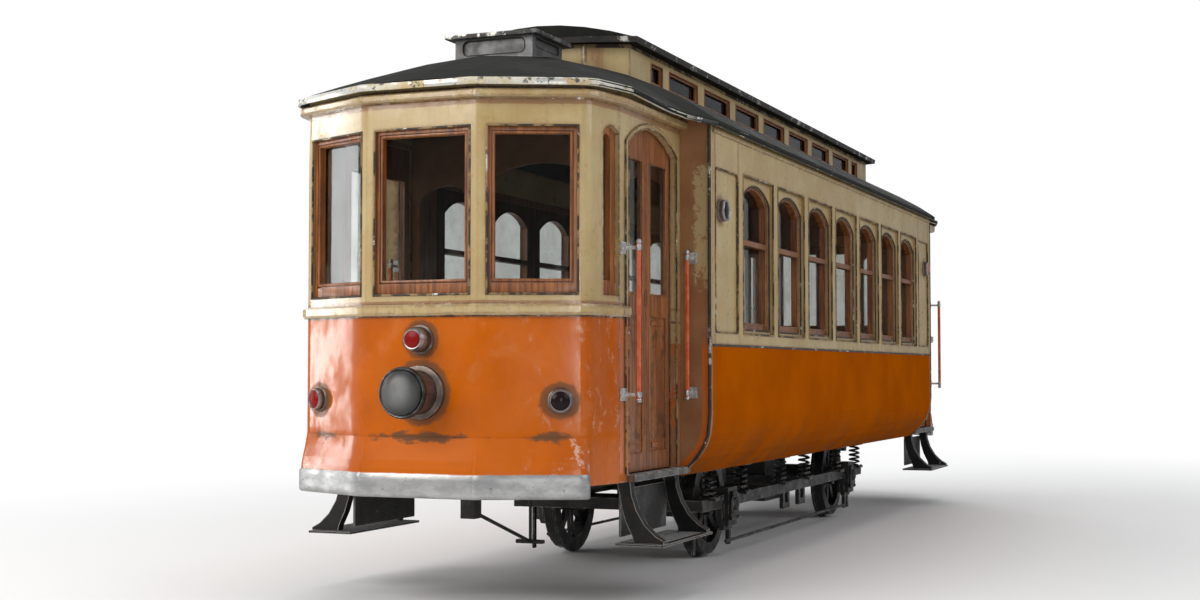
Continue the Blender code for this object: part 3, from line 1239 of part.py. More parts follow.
def make_benches():
    back = BODY_HALF - UPPER_WALL - SEAT_GAP - LINING_THICK - SEAT_GAP * 2 - GLASS_THICK
    low = SALOON_FLOOR_Z + SEAT_GAP
    outline = [(BENCH_FRONT_X, low), (BENCH_FRONT_X + BENCH_THICK, low),
               (BENCH_FRONT_X + BENCH_THICK, BENCH_SEAT_Z - BENCH_THICK),
               (back - BENCH_THICK, BENCH_SEAT_Z - BENCH_THICK), (back - BENCH_THICK, low), (back, low),
               (back, BENCH_BACK_TOP_Z), (back - BENCH_THICK, BENCH_BACK_TOP_Z),
               (back - BENCH_THICK * 2, BENCH_SEAT_Z), (BENCH_FRONT_X, BENCH_SEAT_Z)]
    at_both_sides(plate([outline], ON_END, -BENCH_END, BENCH_END), "bench", "varnished_wood")


def make_controls():
    """The driver's controller and the hand brake wheel on one floor plate."""
    low = PLATFORM_FLOOR_Z + SEAT_GAP
    plate_top = low + CONTROLS_PLATE_THICK
    floor_plate = box((CONTROLLER_X - CONTROLLER_HALF, -CONTROLLER_Y - CONTROLLER_HALF, low),
                      (BRAKE_X + BRAKE_POST_RADIUS * 2, -CONTROLLER_Y + CONTROLLER_HALF, plate_top))
    top = low + CONTROLLER_HIGH
    column = box((CONTROLLER_X - CONTROLLER_HALF + BITE, -CONTROLLER_Y - CONTROLLER_HALF + BITE, low + BITE),
                 (CONTROLLER_X + CONTROLLER_HALF - BITE, -CONTROLLER_Y + CONTROLLER_HALF - BITE, top))
    post = rod([(BRAKE_X, -CONTROLLER_Y, low + BITE), (BRAKE_X, -CONTROLLER_Y, top + BRAKE_POST_RADIUS)],
               BRAKE_POST_RADIUS)
    rim = CONTROLS_PLATE_THICK
    wheel = turned([(0, rim), (BRAKE_WHEEL_RADIUS, rim), (BRAKE_WHEEL_RADIUS, -rim), (0, -rim)], LAMP_STEPS)
    move(wheel, Matrix.Translation((BRAKE_X, -CONTROLLER_Y, top)))
    fuse(floor_plate, column, post, wheel)
    at_both_ends(floor_plate, "platform_controls", "black_cast")


make_underframe()
make_platform_floors()
make_side_panels()
make_window_bands()
make_linings()
make_bulkheads()
make_dashes()
make_headlights()
make_skirts()
make_bulkhead_rails()
make_platform_bands()
make_door_surrounds()
make_platform_linings()
make_roof()
make_clerestory()
make_clerestory_roof()
make_sign_boxes()
make_wheelsets()
make_truck()
make_steps()
make_doors()
make_benches()
make_controls()
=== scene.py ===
import math

import bmesh
import bpy
from mathutils import Matrix, Vector


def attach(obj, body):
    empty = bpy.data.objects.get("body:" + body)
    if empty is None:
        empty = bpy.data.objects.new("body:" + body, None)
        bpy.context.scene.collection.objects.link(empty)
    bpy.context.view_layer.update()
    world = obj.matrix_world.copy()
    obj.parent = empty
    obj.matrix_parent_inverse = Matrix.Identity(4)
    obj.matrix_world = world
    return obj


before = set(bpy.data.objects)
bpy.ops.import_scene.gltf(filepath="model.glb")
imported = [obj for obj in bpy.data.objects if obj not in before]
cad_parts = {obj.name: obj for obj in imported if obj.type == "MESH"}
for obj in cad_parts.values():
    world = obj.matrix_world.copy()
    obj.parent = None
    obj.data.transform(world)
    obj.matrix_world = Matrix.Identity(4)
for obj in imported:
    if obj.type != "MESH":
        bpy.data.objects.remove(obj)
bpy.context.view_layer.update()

scene = bpy.context.scene

# Sizes of the car, in metres, as in the part's source
BODY_HALF = 1.145
SALOON_END = 3.39
BULKHEAD_FACE = 3.43
BELT_Z = 1.48
SILL_Z = 1.56
BAY_TOP_Z = 2.596
BAY_BACK = 1.105
WINDOW_PITCH = 0.805
WINDOW_HALF = 0.345
GLASS_HALF = 0.285
ARCH_SPRING_Z = 2.43
ARCH_RISE = 0.1
MEETING_LOW_Z = 2.145
MEETING_HIGH_Z = 2.18
SASH_LOW_Z = 1.635
LINING_FACE = 1.1047
PLAN_FLAT_HALF = 0.345
PLAN_FRONT = 4.997
PLAN_FACET = math.radians(25)
WINDOW_CENTRES = [(i - 3) * WINDOW_PITCH for i in range(7)]
# inset from the body's side and height, down the rocker curve
ROCKER = ((0.012, 0.93), (0.035, 0.868), (0.085, 0.791), (0.159, 0.719))
LEAF_FACE = 0.914
LEAF_BACK = 0.884
# the two leaves of a doorway: rear and front edge, as distances from the car's middle
LEAVES = (("hung", 3.535, 3.925), ("folding", 3.931, 4.321))
BLANK_BAY_Y = 3.1
FLOOR_Z = 0.7
EAVE_STRIP_Z = 2.806
CREASE_Z = 0.962
BUMPER_TOP_Z = 0.76
HEADLIGHT_Z = 1.204
TOP_LAMP_Z = 1.493
MARKER_X = 0.7515
MARKER_Z = 1.16
SIDE_LAMP_FACE = 1.1335
SIDE_LAMP_Y = 3.2
SIDE_LAMP_Z = 2.32
RAIL_ARMS_Z = (1.19, 2.01)
RAIL_TIPS_Z = (1.158, 2.042)
POST_RAIL = (1.05, -4.4)
BULKHEAD_RAIL = (1.025, -3.52)
AXLE_Y = 1.7475
BOX_Z = 0.365
SPRING_FEET_Y = (-2.1025, -1.3925, -0.355, 0.355, 1.3925, 2.1025)
# the corner that pieces are drawn at comes last: the others are copied from it
CORNERS = (("front_left", -1, 1), ("rear_right", 1, -1), ("rear_left", -1, -1), ("front_right", 1, 1))

# Colours
ORANGE = (0.56, 0.118, 0.001)
ORANGE_DEEP = (0.44, 0.086, 0.001)
CREAM = (0.43, 0.3, 0.12)
CREAM_PALE = (0.52, 0.4, 0.195)
PRIMER = (0.27, 0.112, 0.042)
STAIN = (0.3, 0.145, 0.058)
CHIP_DARK = (0.03, 0.026, 0.022)
CHIP_BRIGHT = (0.72, 0.72, 0.69)
SOOT = (0.125, 0.062, 0.03)
WHITE = (1, 1, 1)


# Node building

class Value:
    """A node's output that takes part in sums and products."""

    def __init__(self, paint, socket):
        self.paint, self.socket = paint, socket

    def __add__(self, other):
        return self.paint.math("ADD", self, other)

    def __sub__(self, other):
        return self.paint.math("SUBTRACT", self, other)

    def __rsub__(self, other):
        return self.paint.math("SUBTRACT", other, self)

    def __mul__(self, other):
        return self.paint.math("MULTIPLY", self, other)

    def __abs__(self):
        return self.paint.math("ABSOLUTE", self)


class Tree:
    """Adds nodes to a node tree; every method but feed and show returns a node's output."""

    def __init__(self, tree):
        self.tree = tree

    def made(self, kind, output, inputs=(), **settings):
        """Adds a node, feeds (input, value) pairs into it and gives one of its outputs."""
        node = self.tree.nodes.new(kind)
        for key, value in settings.items():
            setattr(node, key, value)
        for key, value in inputs:
            self.feed(node.inputs[key], value)
        return Value(self, node.outputs[output])

    def feed(self, socket, value):
        if isinstance(value, Value):
            self.tree.links.new(value.socket, socket)
        elif isinstance(value, (tuple, list)) and len(value) == 3 and socket.type == "RGBA":
            socket.default_value = (*value, 1)
        else:
            socket.default_value = value

    def math(self, operation, one, two=0.0):
        return self.made("ShaderNodeMath", 0, ((0, one), (1, two)), operation=operation)

    def most(self, *masks):
        result = masks[0]
        for mask in masks[1:]:
            result = self.math("MAXIMUM", result, mask)
        return result

    def show(self, output, share, one, two):
        """Ends the tree with a mix of two shaders."""
        blend = self.made("ShaderNodeMixShader", 0, ((0, share), (1, one), (2, two)))
        self.feed(self.tree.nodes[output].inputs["Surface"], blend)


class Paint(Tree):
    """Builds one material; wide and far are the distances from the car's middle, across and along."""

    def __init__(self, name):
        self.material = bpy.data.materials.new(name)
        self.material.use_nodes = True
        super().__init__(self.material.node_tree)
        self.shader = self.tree.nodes["Principled BSDF"]
        self.place = self.made("ShaderNodeTexCoord", "Object")
        split = self.tree.nodes.new("ShaderNodeSeparateXYZ")
        self.feed(split.inputs[0], self.place)
        self.x, self.y, self.z = (Value(self, output) for output in split.outputs)
        self.wide, self.far = abs(self.x), abs(self.y)

    def scaled(self, scale, offset=(0, 0, 0)):
        return self.made("ShaderNodeMapping", "Vector",
                         (("Vector", self.place), ("Scale", scale), ("Location", offset)))

    def noise(self, scale, detail=4, rough=0.55, stretch=(1, 1, 1), warp=0.0, offset=(0, 0, 0)):
        return self.made("ShaderNodeTexNoise", "Fac", (
            ("Vector", self.scaled(stretch, offset)), ("Scale", scale), ("Detail", detail),
            ("Roughness", rough), ("Distortion", warp)))

    def span(self, value, low, high, start=0.0, end=1.0):
        """Runs smoothly from start to end while the value runs from low to high."""
        return self.made("ShaderNodeMapRange", "Result", (
            ("Value", value), ("From Min", low), ("From Max", high), ("To Min", start), ("To Max", end)),
            interpolation_type="SMOOTHSTEP")

    def blot(self, low, high, *pattern, **more):
        """A mask of blots: the noise called for, spread between two levels."""
        return self.span(self.noise(*pattern, **more), low, high)

    def near(self, value, place, inner, outer):
        """1 within inner of a place, 0 beyond outer."""
        return self.span(abs(value - place), outer, inner)

    def wavy(self, value, amount, *pattern, **more):
        """The value made ragged by noise."""
        return value + (self.noise(*pattern, **more) - 0.5) * amount

    def mix(self, share, one, two):
        return self.made("ShaderNodeMix", "Result", (("Factor", share), ("A", one), ("B", two)),
                         data_type="RGBA")

    def over(self, base, colour, mask, level=1.0):
        """A colour laid over the base where the mask says, at a level."""
        return self.mix(mask if level == 1.0 else mask * level, base, colour)

    def mix_value(self, share, one, two):
        return self.made("ShaderNodeMix", 0, (("Factor", share), (2, one), (3, two)), data_type="FLOAT")

    def sheen(self, low, high, scale, detail=5):
        """Roughness that wanders between two values."""
        return self.mix_value(self.blot(0.3, 0.7, scale, detail), low, high)

    def true_normal(self):
        return self.made("ShaderNodeNewGeometry", "Normal")

    def bevelled(self, radius, samples):
        return self.made("ShaderNodeBevel", "Normal", (("Radius", radius),), samples=samples)

    def edges(self, radius, low=0.02, high=0.22):
        """A mask that is 1 on edges, from the difference between the bevelled and the real normal."""
        dot = self.made("ShaderNodeVectorMath", "Value",
                        ((0, self.bevelled(radius, 4)), (1, self.true_normal())), operation="DOT_PRODUCT")
        return self.span(1.0 - dot, low, high)

    def soft_normal(self, radius, mask):
        """The bevelled normal where the mask is 1, the real one elsewhere."""
        return self.made("ShaderNodeMix", 1, (
            ("Factor", mask), (4, self.true_normal()), (5, self.bevelled(radius, 8))), data_type="VECTOR")

    def rolled(self, width, normal=None):
        """The normal turned about the upright axis, so that the platform's two creases look rounded."""
        turn = self.span(self.wide, PLAN_FLAT_HALF - width, PLAN_FLAT_HALF + width)
        turn = turn - self.math("GREATER_THAN", self.wide, PLAN_FLAT_HALF)
        turn = turn * self.math("SIGN", self.x * self.y) * -PLAN_FACET
        normal = self.converted(normal or self.true_normal(), "WORLD", "OBJECT")
        normal = self.made("ShaderNodeVectorRotate", "Vector", (("Vector", normal), ("Angle", turn)),
                           rotation_type="Z_AXIS")
        return self.converted(normal, "OBJECT", "WORLD")

    def converted(self, normal, start, end):
        """The normal taken from one space to another."""
        return self.made("ShaderNodeVectorTransform", 0, ((0, normal),), vector_type="NORMAL",
                         convert_from=start, convert_to=end)

    def bump(self, height, strength=0.3, distance=0.002, normal=None):
        inputs = [("Height", height), ("Strength", strength), ("Distance", distance)]
        if normal is not None:
            inputs.append(("Normal", normal))
        return self.made("ShaderNodeBump", "Normal", inputs)

    def finish(self, colour, roughness, metallic=0.0, normal=None, gloss=None, **plain):
        """Feeds the shader and gives the material; gloss is the weight of the coat."""
        given = [("Base Color", colour), ("Roughness", roughness), ("Metallic", metallic),
                 ("Normal", normal), ("Coat Normal", normal), ("Coat Weight", gloss)]
        given += [(key.replace("_", " "), value) for key, value in plain.items()]
        for key, value in given:
            if value is not None:
                self.feed(self.shader.inputs[key], value)
        return self.material


# Layers and masks that several paints share

def grey(tone):
    return (tone, tone, tone)


def dimmed(colour, share):
    return tuple(value * share for value in colour)


def worn_paint(p, base, radius, tone=1.0):
    """Chipped edges over paint: stained border, dark chips, bright scuffs; gives colour and two masks."""
    border = p.edges(radius * 2.2, 0.004, 0.1)
    edge = p.edges(radius, 0.01, 0.16)
    stain = border * p.blot(0.35, 0.52, 7, 6, 0.7, offset=(8, 2, 1))
    chips = edge * p.blot(0.46, 0.52, 23, 7, 0.72)
    bright = edge * p.blot(0.57, 0.62, 8, 7, 0.72, offset=(3, 1, 7))
    colour = p.over(base, STAIN, stain, 0.7 * tone)
    colour = p.over(colour, CHIP_DARK, chips, 0.92 * tone)
    return p.over(colour, CHIP_BRIGHT, bright, 0.9 * tone), chips, bright


def cream_layers(p):
    base = p.mix(p.blot(0.35, 0.68, 2.2, 5, 0.6), CREAM, CREAM_PALE)
    streaks = p.blot(0.5, 0.7, 7, 6, 0.65, stretch=(3.5, 3.5, 0.22))
    base = p.over(base, (0.33, 0.22, 0.085), streaks, 0.35)
    base = p.over(base, STAIN, p.blot(0.66, 0.7, 36, 6, 0.7, offset=(1, 2, 2)), 0.5)
    drips = p.blot(0.58, 0.7, 5, 7, 0.74, stretch=(2.6, 2.6, 0.5), offset=(5, 5, 5))
    return p.over(base, STAIN, drips, 0.6)


def orange_layers(p):
    base = p.mix(p.blot(0.32, 0.7, 1.7, 4, 0.6), ORANGE, ORANGE_DEEP)
    base = p.over(base, PRIMER, p.blot(0.62, 0.7, 90, 3, 0.6), 0.18)
    return p.over(base, PRIMER, p.blot(0.665, 0.7, 14, 7, 0.7, offset=(1, 9, 4)), 0.8)


def steel_colour(p):
    return p.mix(p.blot(0.42, 0.6, 40, 5, 0.7), (0.62, 0.62, 0.6), (0.33, 0.32, 0.3))


def rail_colour(p):
    base = p.mix(p.blot(0.4, 0.64, 22, 6, 0.7, stretch=(1, 1, 0.6)), (0.52, 0.07, 0.012),
                 (0.64, 0.15, 0.05))
    return p.over(base, (0.16, 0.05, 0.02), p.blot(0.6, 0.66, 60, 6, 0.7), 0.6)


def near_arms(p):
    """1 at the height of a grab rail's arms."""
    return p.most(*(p.near(p.z, arm, 0.036, 0.0365) for arm in RAIL_ARMS_Z))


def halo(p, across, up, inner, outer):
    """1 round a lamp, fading out; across and up are the distances from its axis."""
    far = p.math("SQRT", across * across + up * up)
    return p.span(p.wavy(far, 0.05, 17, 6, 0.7), outer, inner)


def seam_shade_line(p, low, high):
    """A ragged dark line between two heights: painted shade along a seam."""
    ragged = p.wavy(p.z, 0.018, 13, 6, 0.7, stretch=(1, 1, 2))
    return p.span(ragged, low, low + 0.004) * p.span(ragged, high, high - 0.004)


def soot_mask(p):
    """Three smudges along the crease over the skirt."""
    middle = p.span(p.wide, 0.46, 0.05, 0.0, 0.04)
    side = p.span(abs(p.wide - 0.7), 0.17, 0.02, 0.0, 0.034)
    room = p.wavy(p.most(middle, side), 0.16, 9, 8, 0.72, stretch=(1, 1, 2.5), offset=(6, 1, 3))
    return p.span(room - abs(p.z - CREASE_Z) - 0.004, -0.004, 0.022)


def gloss_mask(p):
    """How glossy the front's paint is: patches rubbed dull."""
    patches = p.noise(4.5, 8, 0.75, stretch=(1, 1, 0.55), warp=0.4, offset=(2, 6, 3))
    return p.span(patches, 0.4, 0.55, 0.1, 0.6)


# Paints of the car

def cream_paint():
    """The saloon's upper side: stained round the lamps, down the blank bays' sides and over the belt."""
    p = Paint("cream_enamel")
    lamps = halo(p, p.far - SIDE_LAMP_Y, p.z - SIDE_LAMP_Z, 0.078, 0.125)
    base = p.over(cream_layers(p), STAIN, lamps, 0.8)
    bay = abs(p.far - BLANK_BAY_Y)
    strips = p.span(bay, 0.205, 0.235) * p.span(bay, 0.275, 0.245)
    strips = strips * p.blot(0.36, 0.5, 6, 6, 0.7, stretch=(1, 1, 0.3))
    base = p.over(base, STAIN, strips, 0.75)
    grime = p.span(p.z, 1.5, 1.484) * p.blot(0.4, 0.52, 14, 6, 0.7, stretch=(1, 0.4, 1))
    base = p.over(base, (0.13, 0.07, 0.035), grime, 0.85)
    colour, chips, bright = worn_paint(p, base, 0.018)
    rough = p.mix_value(chips, p.sheen(0.26, 0.46, 12, 4), 0.7)
    normal = p.bump(p.noise(55, 4) - chips, 0.2, 0.0015)
    return p.finish(colour, rough, bright * 0.5, normal, Coat_Weight=0.12)


def band_paint():
    """Cream; door posts orange low down and worn to primer, grab rails red with steel fittings."""
    p = Paint("platform_enamel")
    base = cream_layers(p)
    # Lines under the eave strip, between the cornice's tiers and along the belt moulding: painted shade in
    # the seams, partly stain.
    for low, high, level, colour in ((2.77, 2.806, 0.8, STAIN), (2.846, 2.87, 0.9, CHIP_DARK),
                                     (1.684, 1.706, 0.8, STAIN), (1.608, 1.626, 0.85, (0.07, 0.045, 0.03))):
        base = p.over(base, colour, seam_shade_line(p, low, high), level)
    ahead = p.span(p.far, 4.0, 4.01)
    behind = 1.0 - ahead
    at_post = p.span(p.z + p.noise(20, 3) * 0.02, 1.5, 1.492) * behind
    low = p.most(at_post, p.span(p.z, 1.6175, 1.6165) * ahead)
    base = p.mix(low, base, orange_layers(p))
    worn = low * behind * p.blot(0.43, 0.52, 9, 6, 0.7, stretch=(1, 1, 0.35), offset=(2, 8, 3))
    base = p.over(base, STAIN, worn)
    colour, chips, bright = worn_paint(p, base, 0.018)
    at_rail = p.span(p.far, 4.35, 4.36) * p.span(p.z, 2.1, 2.09) * p.span(p.z, 1.12, 1.13)
    fitting = at_rail * p.span(p.wide, 0.9502, 0.9508) * near_arms(p)
    colour = p.mix(fitting, colour, steel_colour(p))
    colour = p.mix(at_rail * p.span(p.wide, 1.03, 1.031), colour, rail_colour(p))
    gloss = p.span(p.noise(6, 7, 0.72, offset=(9, 2, 4)), 0.4, 0.56, 0.2, 0.8)
    normal = p.bump(p.noise(55, 4) - chips, 0.2, 0.0015, p.rolled(0.06))
    return p.finish(colour, p.sheen(0.25, 0.45, 12, 4), bright * 0.4, normal, gloss, Coat_Roughness=0.1)


def dash_paint():
    """Orange front: hazed and scratched, dark round the lamps, sooty along the crease over the skirt."""
    p = Paint("dash_enamel")
    haze = p.blot(0.54, 0.66, 3.0, 6, 0.7, warp=0.8, offset=(4, 4, 1))
    base = p.over(orange_layers(p), (0.66, 0.28, 0.12), haze, 0.13)
    scratch = p.blot(0.62, 0.67, 30, 6, 0.8, stretch=(1.0, 1.0, 0.2), warp=0.6, offset=(7, 3, 2))
    base = p.over(base, (0.6, 0.46, 0.38), scratch * p.span(p.wide, 0.62, 0.86), 0.38)
    smear = p.blot(0.55, 0.62, 8, 9, 0.78, stretch=(1, 1, 0.6), warp=0.5, offset=(1, 5, 8))
    base = p.over(base, (0.62, 0.4, 0.3), smear * p.span(p.wide, 0.46, 0.8), 0.42)
    rings = p.most(halo(p, p.wide, p.z - HEADLIGHT_Z, 0.172, 0.196),
                   halo(p, p.wide, p.z - TOP_LAMP_Z, 0.098, 0.122),
                   halo(p, p.wide - MARKER_X, p.z - MARKER_Z, 0.09, 0.112))
    base = p.over(base, (0.17, 0.072, 0.03), rings, 0.85)
    base = p.over(base, SOOT, soot_mask(p), 0.9)
    colour, _, _ = worn_paint(p, base, 0.01, 0.7)
    sooty = p.near(p.z, CREASE_Z + 0.003, 0.004, 0.05)
    rough = p.mix_value(p.most(rings, sooty, haze), p.sheen(0.24, 0.38, 7), 0.55)
    gloss = gloss_mask(p) * (1.0 - p.most(rings, sooty) * 0.7)
    normal = p.bump(p.noise(5, 3) + p.noise(120, 3) * 0.05, 0.12, 0.006, p.rolled(0.13))
    return p.finish(colour, rough, 0.0, normal, gloss, Coat_Roughness=0.09, Specular_IOR_Level=0.1)


def skirt_paint():
    """Orange above; the bumper bar along the foot is bare scuffed steel."""
    p = Paint("skirt_enamel")
    steel = p.span(p.wavy(p.z, 0.012, 9, 6, 0.7), BUMPER_TOP_Z + 0.008, BUMPER_TOP_Z)
    soot = soot_mask(p)
    base = p.over(orange_layers(p), SOOT, soot, 0.9)
    pale = p.span(p.wide, 0.55, 0.92) * p.blot(0.54, 0.62, 11, 7, 0.75, offset=(2, 2, 9))
    base = p.over(base, (0.7, 0.56, 0.46), pale, 0.65)
    rub = p.blot(0.35, 0.66, 6, 7, 0.7, stretch=(1, 1, 2.2))
    pits = p.blot(0.62, 0.68, 30, 6, 0.7, offset=(4, 7, 7))
    metal = p.over(p.mix(rub, grey(0.34), (0.52, 0.52, 0.51)), (0.09, 0.08, 0.07), pits, 0.7)
    rough = p.mix_value(steel, p.mix_value(soot, 0.46, 0.6), p.mix_value(rub, 0.44, 0.32))
    gloss = gloss_mask(p) * (1.0 - p.most(steel, soot * 0.7)) * p.span(p.wide, 0.3, 0.44, 0.06, 1.0)
    soft = p.rolled(0.13, p.soft_normal(0.04, p.span(p.z, BUMPER_TOP_Z + 0.01, BUMPER_TOP_Z)))
    normal = p.bump(p.noise(22, 5) + pits * -0.6, 0.13, 0.003, soft)
    return p.finish(p.mix(steel, base, metal), rough, steel * 0.9, normal, gloss, Specular_IOR_Level=0.12,
                    Coat_Roughness=0.12)


def side_paint():
    """The saloon's lower side: duller orange, darkened as painted shade, dusty towards the foot."""
    p = Paint("side_enamel")
    # The orange darkened by a third: painted shade, because the side stands in shade.
    base = p.mix(0.32, orange_layers(p), (0.2, 0.05, 0.001))
    base = p.over(base, (0.23, 0.075, 0.02), p.span(p.z, 1.05, 0.66) * p.blot(0.3, 0.7, 4, 5))
    colour, _, _ = worn_paint(p, base, 0.01, 0.6)
    normal = p.bump(p.noise(6, 3), 0.06, 0.006)
    return p.finish(colour, p.sheen(0.38, 0.52, 6), 0.0, normal, Specular_IOR_Level=0.0)


def primer_paint():
    """Brown primer with a worn cream patch on the outer half and an orange line round the lower curve."""
    p = Paint("brown_primer")
    base = p.mix(p.blot(0.35, 0.7, 2.6, 5, 0.6), PRIMER, (0.35, 0.165, 0.07))
    ragged = p.noise(11, 8, 0.75, stretch=(1, 1, 0.6))
    area = p.span(p.wide, 0.985, 1.075) * p.span(p.z, 1.66, 2.0) * p.span(p.z, 2.7, 2.5)
    patch = p.span(p.wavy(area * 0.68, 2.6, 24, 9, 0.84, offset=(4, 1, 2)), 0.48, 0.56)
    strip = p.span(p.wide + ragged * 0.05, 1.15, 1.16) * p.span(p.z, 1.46, 1.6)
    base = p.over(base, (0.5, 0.365, 0.175), p.most(patch, strip), 0.9)
    # distance inward from the rocker's curve at this height
    drop = p.most(1.02 - p.z, 0.0)
    inward = BODY_HALF - drop * drop * 1.95 - (p.wide + (ragged - 0.5) * 0.03)
    line = p.span(inward, 0.062, 0.046) * p.span(inward, 0.004, 0.012) * p.span(p.z, 1.56, 1.4)
    base = p.over(base, ORANGE, line)
    colour, _, _ = worn_paint(p, base, 0.006, 0.8)
    return p.finish(colour, p.sheen(0.38, 0.62, 8), 0.0, p.bump(p.noise(40, 5), 0.15, 0.0015))


def rail_paint():
    """Red bar; the arms and wall plates are bare steel."""
    p = Paint("rail_enamel")
    fitting = near_arms(p) * p.span(p.far, 3.5045, 3.5035)
    colour = p.mix(fitting, rail_colour(p), steel_colour(p))
    normal = p.bump(p.noise(60, 4), 0.12, 0.001)
    return p.finish(colour, p.sheen(0.26, 0.44, 30), fitting * 0.3, normal)


def nosing_paint():
    """Round the platforms worn cream with bright scuffs, made more there as a painted highlight; along the
    saloon black with bright scuffs.
    """
    p = Paint("eave_nosing_worn")
    front = p.span(p.far, 3.55, 3.75)
    cream = p.mix(p.blot(0.4, 0.62, 2.6, 6, 0.7), CREAM_PALE, (0.66, 0.64, 0.56))
    base = p.mix(front, (0.035, 0.033, 0.03), cream)
    # Bright bare-metal scuffs, raised round the platforms: wear, and there partly a painted highlight.
    bright = p.span(p.noise(5, 8, 0.74, offset=(6, 3, 9)) + front * 0.06, 0.56, 0.6)
    black = p.blot(0.57, 0.6, 14, 8, 0.74)
    base = p.over(base, (0.68, 0.68, 0.65), bright, 0.9)
    base = p.over(base, CHIP_DARK, black, 0.85)
    normal = p.bump(p.noise(50, 5) - black, 0.3, 0.002)
    return p.finish(base, p.mix_value(bright, 0.45, 0.3), bright * 0.5, normal)


def roof_canvas():
    p = Paint("roof_canvas_painted")
    cloth = p.noise(3.5, 6, 0.62)
    base = p.mix(p.span(cloth, 0.32, 0.68), (0.009, 0.01, 0.008), (0.022, 0.023, 0.019))
    streaks = p.blot(0.55, 0.7, 9, 6, 0.7, stretch=(0.25, 3.0, 0.25))
    base = p.over(base, (0.048, 0.048, 0.042), streaks, 0.3)
    rough = p.mix_value(p.span(cloth, 0.3, 0.7), 0.66, 0.88)
    normal = p.bump(p.noise(420, 2) + p.noise(14, 4) * 1.4, 0.22, 0.0015)
    return p.finish(base, rough, 0.0, normal, Specular_IOR_Level=0.1)


def floor_boards():
    """Boards above, dull black iron below the floor."""
    p = Paint("floor_boards")
    base = p.mix(p.blot(0.3, 0.7, 3, 6, 0.6, stretch=(12, 0.6, 6)), (0.09, 0.055, 0.032),
                 (0.18, 0.115, 0.07))
    joints = p.made("ShaderNodeTexVoronoi", "Distance", (
        ("Vector", p.scaled((1, 0.001, 0.001))), ("Scale", 9)), feature="DISTANCE_TO_EDGE")
    base = p.over(base, (0.02, 0.014, 0.01), p.span(joints, 0.03, 0.0), 0.8)
    dull = p.mix(p.blot(0.4, 0.66, 8, 7, 0.7), (0.02, 0.019, 0.018), (0.06, 0.05, 0.042))
    base = p.mix(p.span(p.z, FLOOR_Z + 0.001, FLOOR_Z - 0.001), base, dull)
    return p.finish(base, p.mix_value(p.noise(12), 0.5, 0.8), 0.0, p.bump(p.noise(30), 0.2, 0.001))


# Materials made in several tones

def wood(name, light, dark, gloss=0.28, grain=(9, 9, 0.55)):
    p = Paint(name)
    rings = p.noise(4.2, 7, 0.62, stretch=grain, warp=0.5)
    fine = p.noise(26, 4, 0.7, stretch=(grain[0] * 0.6, grain[1] * 0.6, grain[2] * 0.5))
    base = p.mix(p.span(rings, 0.34, 0.66), dark, light)
    base = p.over(base, dark, p.span(fine, 0.5, 0.68), 0.55)
    rub = p.edges(0.006) * p.blot(0.44, 0.6, 22, 5, 0.7)
    base = p.over(base, (0.5, 0.24, 0.085), rub, 0.7)
    dirt = p.edges(0.016, 0.01, 0.2) * p.blot(0.48, 0.6, 12, 5, 0.7, offset=(3, 3, 3))
    base = p.over(base, (0.035, 0.014, 0.006), dirt, 0.65)
    return p.finish(base, p.sheen(gloss, gloss + 0.2, 10, 4), 0.0, p.bump(fine, 0.14, 0.0012),
                    Coat_Weight=0.2, Coat_Roughness=0.2)


def scuffed_metal(name, dark, light, metallic, rough, chips, radius, edge=(0.62, 0.62, 0.61)):
    p = Paint(name)
    base = p.mix(p.blot(0.32, 0.68, 7, 6, 0.65), dark, light)
    spots = p.blot(0.6, 0.68, 34, 6, 0.7, offset=(2, 6, 5))
    base = p.over(base, dimmed(dark, 0.25), spots, chips)
    rim = p.edges(radius, 0.01, 0.18)
    base = p.over(base, edge, rim * p.blot(0.4, 0.56, 18, 5, 0.65))
    base = p.over(base, CHIP_DARK, rim * p.blot(0.54, 0.6, 21, 5, 0.65, offset=(9, 1, 1)), chips * 2)
    normal = p.bump(p.noise(26, 5) - spots * 0.4, 0.16, 0.002)
    return p.finish(base, p.sheen(rough, rough + 0.22, 15), metallic, normal)


def scuffed_strip(name, tone, black, bright, scale):
    """A thin strip worn in lengths: paint, black grime and bare metal; black and bright say how much."""
    p = Paint(name)
    base = p.mix(p.blot(0.35, 0.65, 3, 5, 0.6), tone, dimmed(tone, 0.8))
    grime = p.blot(0.62 - 0.24 * black, 0.67 - 0.24 * black, scale, 8, 0.74)
    bare = p.blot(0.66 - 0.24 * bright, 0.69 - 0.24 * bright, scale * 0.8, 8, 0.74, offset=(6, 3, 9))
    base = p.over(base, CHIP_DARK, grime, 0.93)
    base = p.over(base, (0.52, 0.51, 0.47), bare, 0.9)
    normal = p.bump(p.noise(60, 5) - grime, 0.3, 0.002)
    return p.finish(base, p.mix_value(bare, 0.5, 0.3), bare * 0.5, normal, Specular_IOR_Level=0.3)


def step_mesh(p):
    """A fine perforated pattern on the inner faces of the step risers."""
    waves = p.math("SINE", (p.y + p.z) * 240.0) * p.math("SINE", (p.y - p.z) * 240.0)
    riser = p.span(p.wide, 0.885, 0.88) * p.span(p.z, 0.375, 0.385) * p.span(p.z, 0.645, 0.635)
    return riser * p.span(p.far, 3.46, 3.47) * p.span(p.far, 4.25, 4.24) * p.span(waves, -0.05, 0.1)


